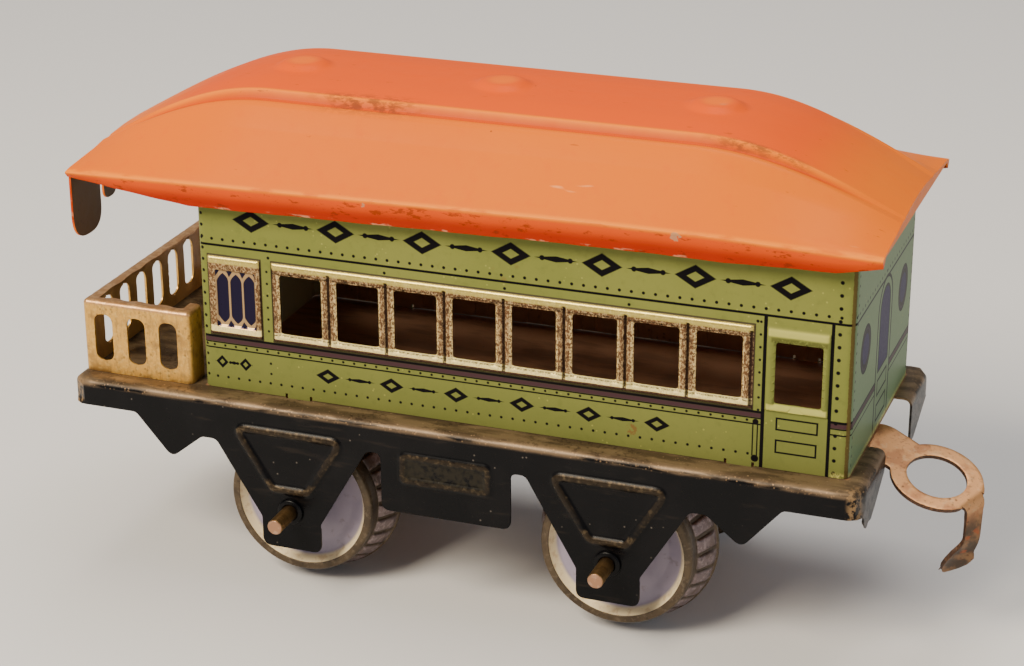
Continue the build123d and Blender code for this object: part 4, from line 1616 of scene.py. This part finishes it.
def coupler_blank(root, tip):
    """The strip's flat blank: a round tail, the ring with its eye, and the hook to its tip."""
    meet = math.asin(STRIP_HALF / RING_RADIUS)
    shares = np.linspace(0, 1, 40)
    hook = np.column_stack([root + shares * (tip - root), hook_half_width(shares)])
    tail = around(STRIP_HALF, np.linspace(math.pi, math.pi / 2, 9))
    arc_angles = np.linspace(math.pi - meet, math.asin(2.9 / RING_RADIUS), 40)
    arc = around(RING_RADIUS, arc_angles) + (EYE_CENTRE, 0)
    half = np.concatenate([tail, arc, hook])
    outline = np.concatenate([half, half[::-1][:-1] * (1, -1)])
    eye_angles = np.linspace(0, 2 * math.pi, 64, endpoint=False)
    eye = around(EYE_RADIUS, eye_angles) + (EYE_CENTRE, 0)
    hole = around(RIVET_HOLE, eye_angles[::3])
    along = lines((-4, 27, 0.7), (27, 46, 0.45))
    return blank(outline, [eye, hole], along, lines((-7.7, 7.7, 0.55)), 0.5, 0.16)


def bent(points, root):
    """Bends the coupler's blank along its route, with a roll that grows towards a cupped tip."""
    route = coupler_route()
    steps = distances_along(route)
    along, across = points.T

    def on_route(distance):
        return np.array([np.interp(distance, steps, values) for values in route.T])

    out, up = on_route(along)
    out = np.where(along < 0, along, out)
    slope_out, slope_up = on_route(along + SLOPE_REACH) - on_route(along - SLOPE_REACH)
    reach = np.maximum(np.hypot(slope_out, slope_up), 1e-6)
    face_out, face_up = -slope_up / reach, slope_out / reach
    level = along < 0.5
    face_out, face_up = np.where(level, 0, face_out), np.where(level, 1, face_up)
    roll = ROLL * smooth(along, BEND - 1.6, BEND + 2.2)
    cup = 0.55 * smooth(along, steps[-1] - 9, steps[-1] - 6) * ((across / 1.8) ** 2 - 0.3)
    roll = roll + math.radians(18) * smooth(along, root, root + 5)
    roll = roll + math.radians(10) * smooth(along, steps[-1] - 10, steps[-1] - 5)
    lift = STRIP / 2 + across * np.sin(roll) + cup
    return np.column_stack([out + face_out * lift, across * np.cos(roll), up + face_up * lift])


def make_coupler():
    root = EYE_CENTRE + RING_RADIUS - RING_LAP
    tip = distances_along(coupler_route())[-1]
    points, faces = coupler_blank(root, tip)
    mesh = mesh_from("coupler_strip", [(to_coach(bent(points, root)), faces)], weld=0.001)
    strip = piece("coupler_strip", mesh, "coupler_arm", "copper_tin", "copper edge", "coupler")
    thickened_strip(strip)


def thickened_strip(strip):
    """Thickens the coupler's strip, with dark sheared edges that are slightly eased."""
    solidify(strip, STRIP).material_offset_rim = 1
    ease = strip.modifiers.new("ease", "BEVEL")
    ease.width = 0.09 * MM
    ease.segments = 2
    ease.limit_method = "ANGLE"
    ease.angle_limit = math.radians(50)
    settle(strip, 50)


# ============================== Wheels and axles ==============================
def flute(angle):
    """0 in the gaps and 1 on the pads of the crimped tread."""
    share = angle * FLUTES / (2 * math.pi) % 1.0
    return float(smooth(share, PAD_START, PAD_START + 0.12) * (1 - smooth(share, 0.88, 1.0)))


def make_tread(end, name, side):
    """A wheel's crimped tread with its flange and back web."""
    tread = rounded(
        [
            (AXLE_HOLE, WHEEL_BACK), (HUB, WHEEL_BACK), (FLANGE, WHEEL_BACK),
            (FLANGE, TREAD_START - 0.1), (FLANGE - 0.3, TREAD_START),
            (FLANGE - 0.5, TREAD_START + 0.5), (TREAD_ROOT, RIM_START - 0.5),
            (TREAD_ROOT - 0.1, RIM_START), (TREAD_INSIDE, RIM_START),
            (TREAD_INSIDE, TREAD_START), (HUB, TREAD_START), (AXLE_HOLE, TREAD_START),
        ],
        [0, 0, 0.3, 0.3, 0.5, 0.5, 0.3, 0.2, 0, 0.3, 0, 0], 4, closed=True,
    )
    tread = resampled(tread, 1.1)
    on_tread = (tread[:, 0] > TREAD_ROOT - 0.15) & (tread[:, 1] > TREAD_START + 0.1)
    window = smooth(tread[:, 1], TREAD_START + 0.2, TREAD_START + 0.9)
    window = window * (1 - smooth(tread[:, 1], RIM_START - 0.5, RIM_START)) * on_tread
    rise = np.minimum(FLUTE_RISE, FLANGE - 0.04 - tread[:, 0]) * window
    patch = lathe(tread, AXLES[end], side, FLUTES * 12, lambda angle: rise * flute(angle))
    mesh = sharpened(mesh_from("tread", [patch], weld=0.001, closed=True), 42)
    node = f"{end}_{name}_wheel_tread"
    piece(f"{end}_{name}_tread", mesh, f"{end}_wheelset", "tread_tin", "brown", node)


def make_face(end, name, side):
    """A wheel's dished white face, with its rolled rim in the tread's brown."""
    axle = AXLES[end]
    face = rounded(
        [
            (AXLE_HOLE, WEB + 0.9), (2.3, WEB + 0.9), (3.1, WEB), (8.6, WEB - 0.1),
            (11.0, WEB + 0.5), (11.75, RIM_FACE - 0.25), (11.85, RIM_FACE), (13.1, RIM_FACE),
            (RIM_RADIUS, RIM_FACE - 0.8), (RIM_RADIUS, RIM_START), (RIM_INSIDE, RIM_START),
            (RIM_INSIDE, RIM_FACE - 1.2), (12.2, RIM_FACE - 0.6), (11.3, WEB),
            (8.4, WEB - 0.6), (AXLE_HOLE, WEB - 0.5),
        ],
        [0, 0.3, 0.8, 3, 1.4, 0.2, 0.3, 0.7, 0.6, 0.1, 0.1, 0.4, 0.4, 1, 2, 0], 5, closed=True,
    )
    patch = lathe(face, axle, side, 120)
    mesh = sharpened(mesh_from("face", [patch], weld=0.001, closed=True), 42)
    node = f"{end}_{name}_wheel_face"
    piece(f"{end}_{name}_face", mesh, f"{end}_wheelset", "white_face", "white brown", node)
    for polygon in mesh.polygons:
        middle = polygon.center / MM
        radius = math.hypot(middle.x - axle.x, middle.z - axle.z)
        polygon.material_index = 1 if radius > LIP_RADIUS else 0


def make_axle(end):
    """A rod through both wheels, with slightly rounded ends."""
    half = rounded(
        [
            (0.0, AXLE_HALF - 0.02), (0.9, AXLE_HALF), (1.22, AXLE_HALF),
            (AXLE_RADIUS, AXLE_HALF - 0.22), (AXLE_RADIUS, 0),
        ],
        [0, 0.3, 0.1, 0.15, 0], 4,
    )
    profile = np.concatenate([half, half[::-1] * (1, -1)])
    mesh = mesh_from("axle", [lathe(profile, AXLES[end], 1, 48)], weld=0.001, closed=True)
    body = f"{end}_wheelset"
    piece(f"{end}_axle_rod", sharpened(mesh, 40), body, "axle_steel", "axle", f"{end}_axle")


make_underframe()
make_collars()
make_body()
make_gable()
make_roof()
make_railing()
make_coupler()
for end in AXLES:
    make_axle(end)
    for name, side in SIDES:
        make_tread(end, name, side)
        make_face(end, name, side)
rivet = frame["nodes"]["coupler_rivet"]
rivet.material_slots[0].material = MATERIALS["axle"]


# ============================ Floor, light, camera ============================
FLOOR_REACH = 3.0
LENS = 85.76
CAMERA_PLACE = (0.13735, -0.36806, 0.20195)
CAMERA_FORWARD = (-0.3199, 0.8692, -0.3770)
CAMERA_RIGHT = (0.9390, 0.3440, -0.0037)


def make_floor():
    mesh = bpy.data.meshes.new("floor")
    corners = rectangle(-FLOOR_REACH, FLOOR_REACH, -FLOOR_REACH, FLOOR_REACH)
    mesh.from_pydata([(*corner, 0) for corner in corners], [], [(0, 1, 2, 3)])
    floor = bpy.data.objects.new("floor", mesh)
    bpy.context.scene.collection.objects.link(floor)
    material = bpy.data.materials.new("pale_floor")
    material.use_nodes = True
    shader = material.node_tree.nodes["Principled BSDF"]
    shader.inputs["Base Color"].default_value = tone(214, 213, 212)
    shader.inputs["Roughness"].default_value = 0.8
    mesh.materials.append(material)


def area_light(name, place, size, power, colour=(1, 1, 1)):
    """A square soft light aimed at the middle of the coach."""
    data = bpy.data.lights.new(name, "AREA")
    data.energy = power
    data.size = size
    data.color = colour
    lamp = bpy.data.objects.new(name, data)
    bpy.context.scene.collection.objects.link(lamp)
    lamp.location = place
    aim = Vector((0, 0, 0.05)) - Vector(place)
    lamp.rotation_euler = aim.to_track_quat("-Z", "Y").to_euler()


def make_lights():
    world = bpy.data.worlds.new("studio")
    world.use_nodes = True
    background = world.node_tree.nodes["Background"]
    background.inputs["Color"].default_value = (0.92, 0.94, 1.0, 1)
    background.inputs["Strength"].default_value = 0.28
    bpy.context.scene.world = world
    area_light("key", (-0.36, -0.70, 0.76), 0.45, 19.0, (1.0, 0.88, 0.70))
    area_light("top", (0.05, 0.25, 0.95), 0.6, 6.0, (1.0, 0.94, 0.86))
    area_light("fill", (0.9, -0.15, 0.35), 0.6, 1.6, (0.9, 0.94, 1.0))


def make_camera():
    data = bpy.data.cameras.new("camera")
    data.sensor_width = 36.0
    data.lens = LENS
    data.clip_start = 0.01
    camera = bpy.data.objects.new("camera", data)
    bpy.context.scene.collection.objects.link(camera)
    forward = Vector(CAMERA_FORWARD).normalized()
    right = Vector(CAMERA_RIGHT).normalized()
    up = right.cross(forward).normalized()
    right = forward.cross(up)
    turn = Matrix((right, up, -forward)).transposed()
    camera.matrix_world = Matrix.Translation(CAMERA_PLACE) @ turn.to_4x4()
    bpy.context.scene.camera = camera


make_floor()
make_lights()
make_camera()
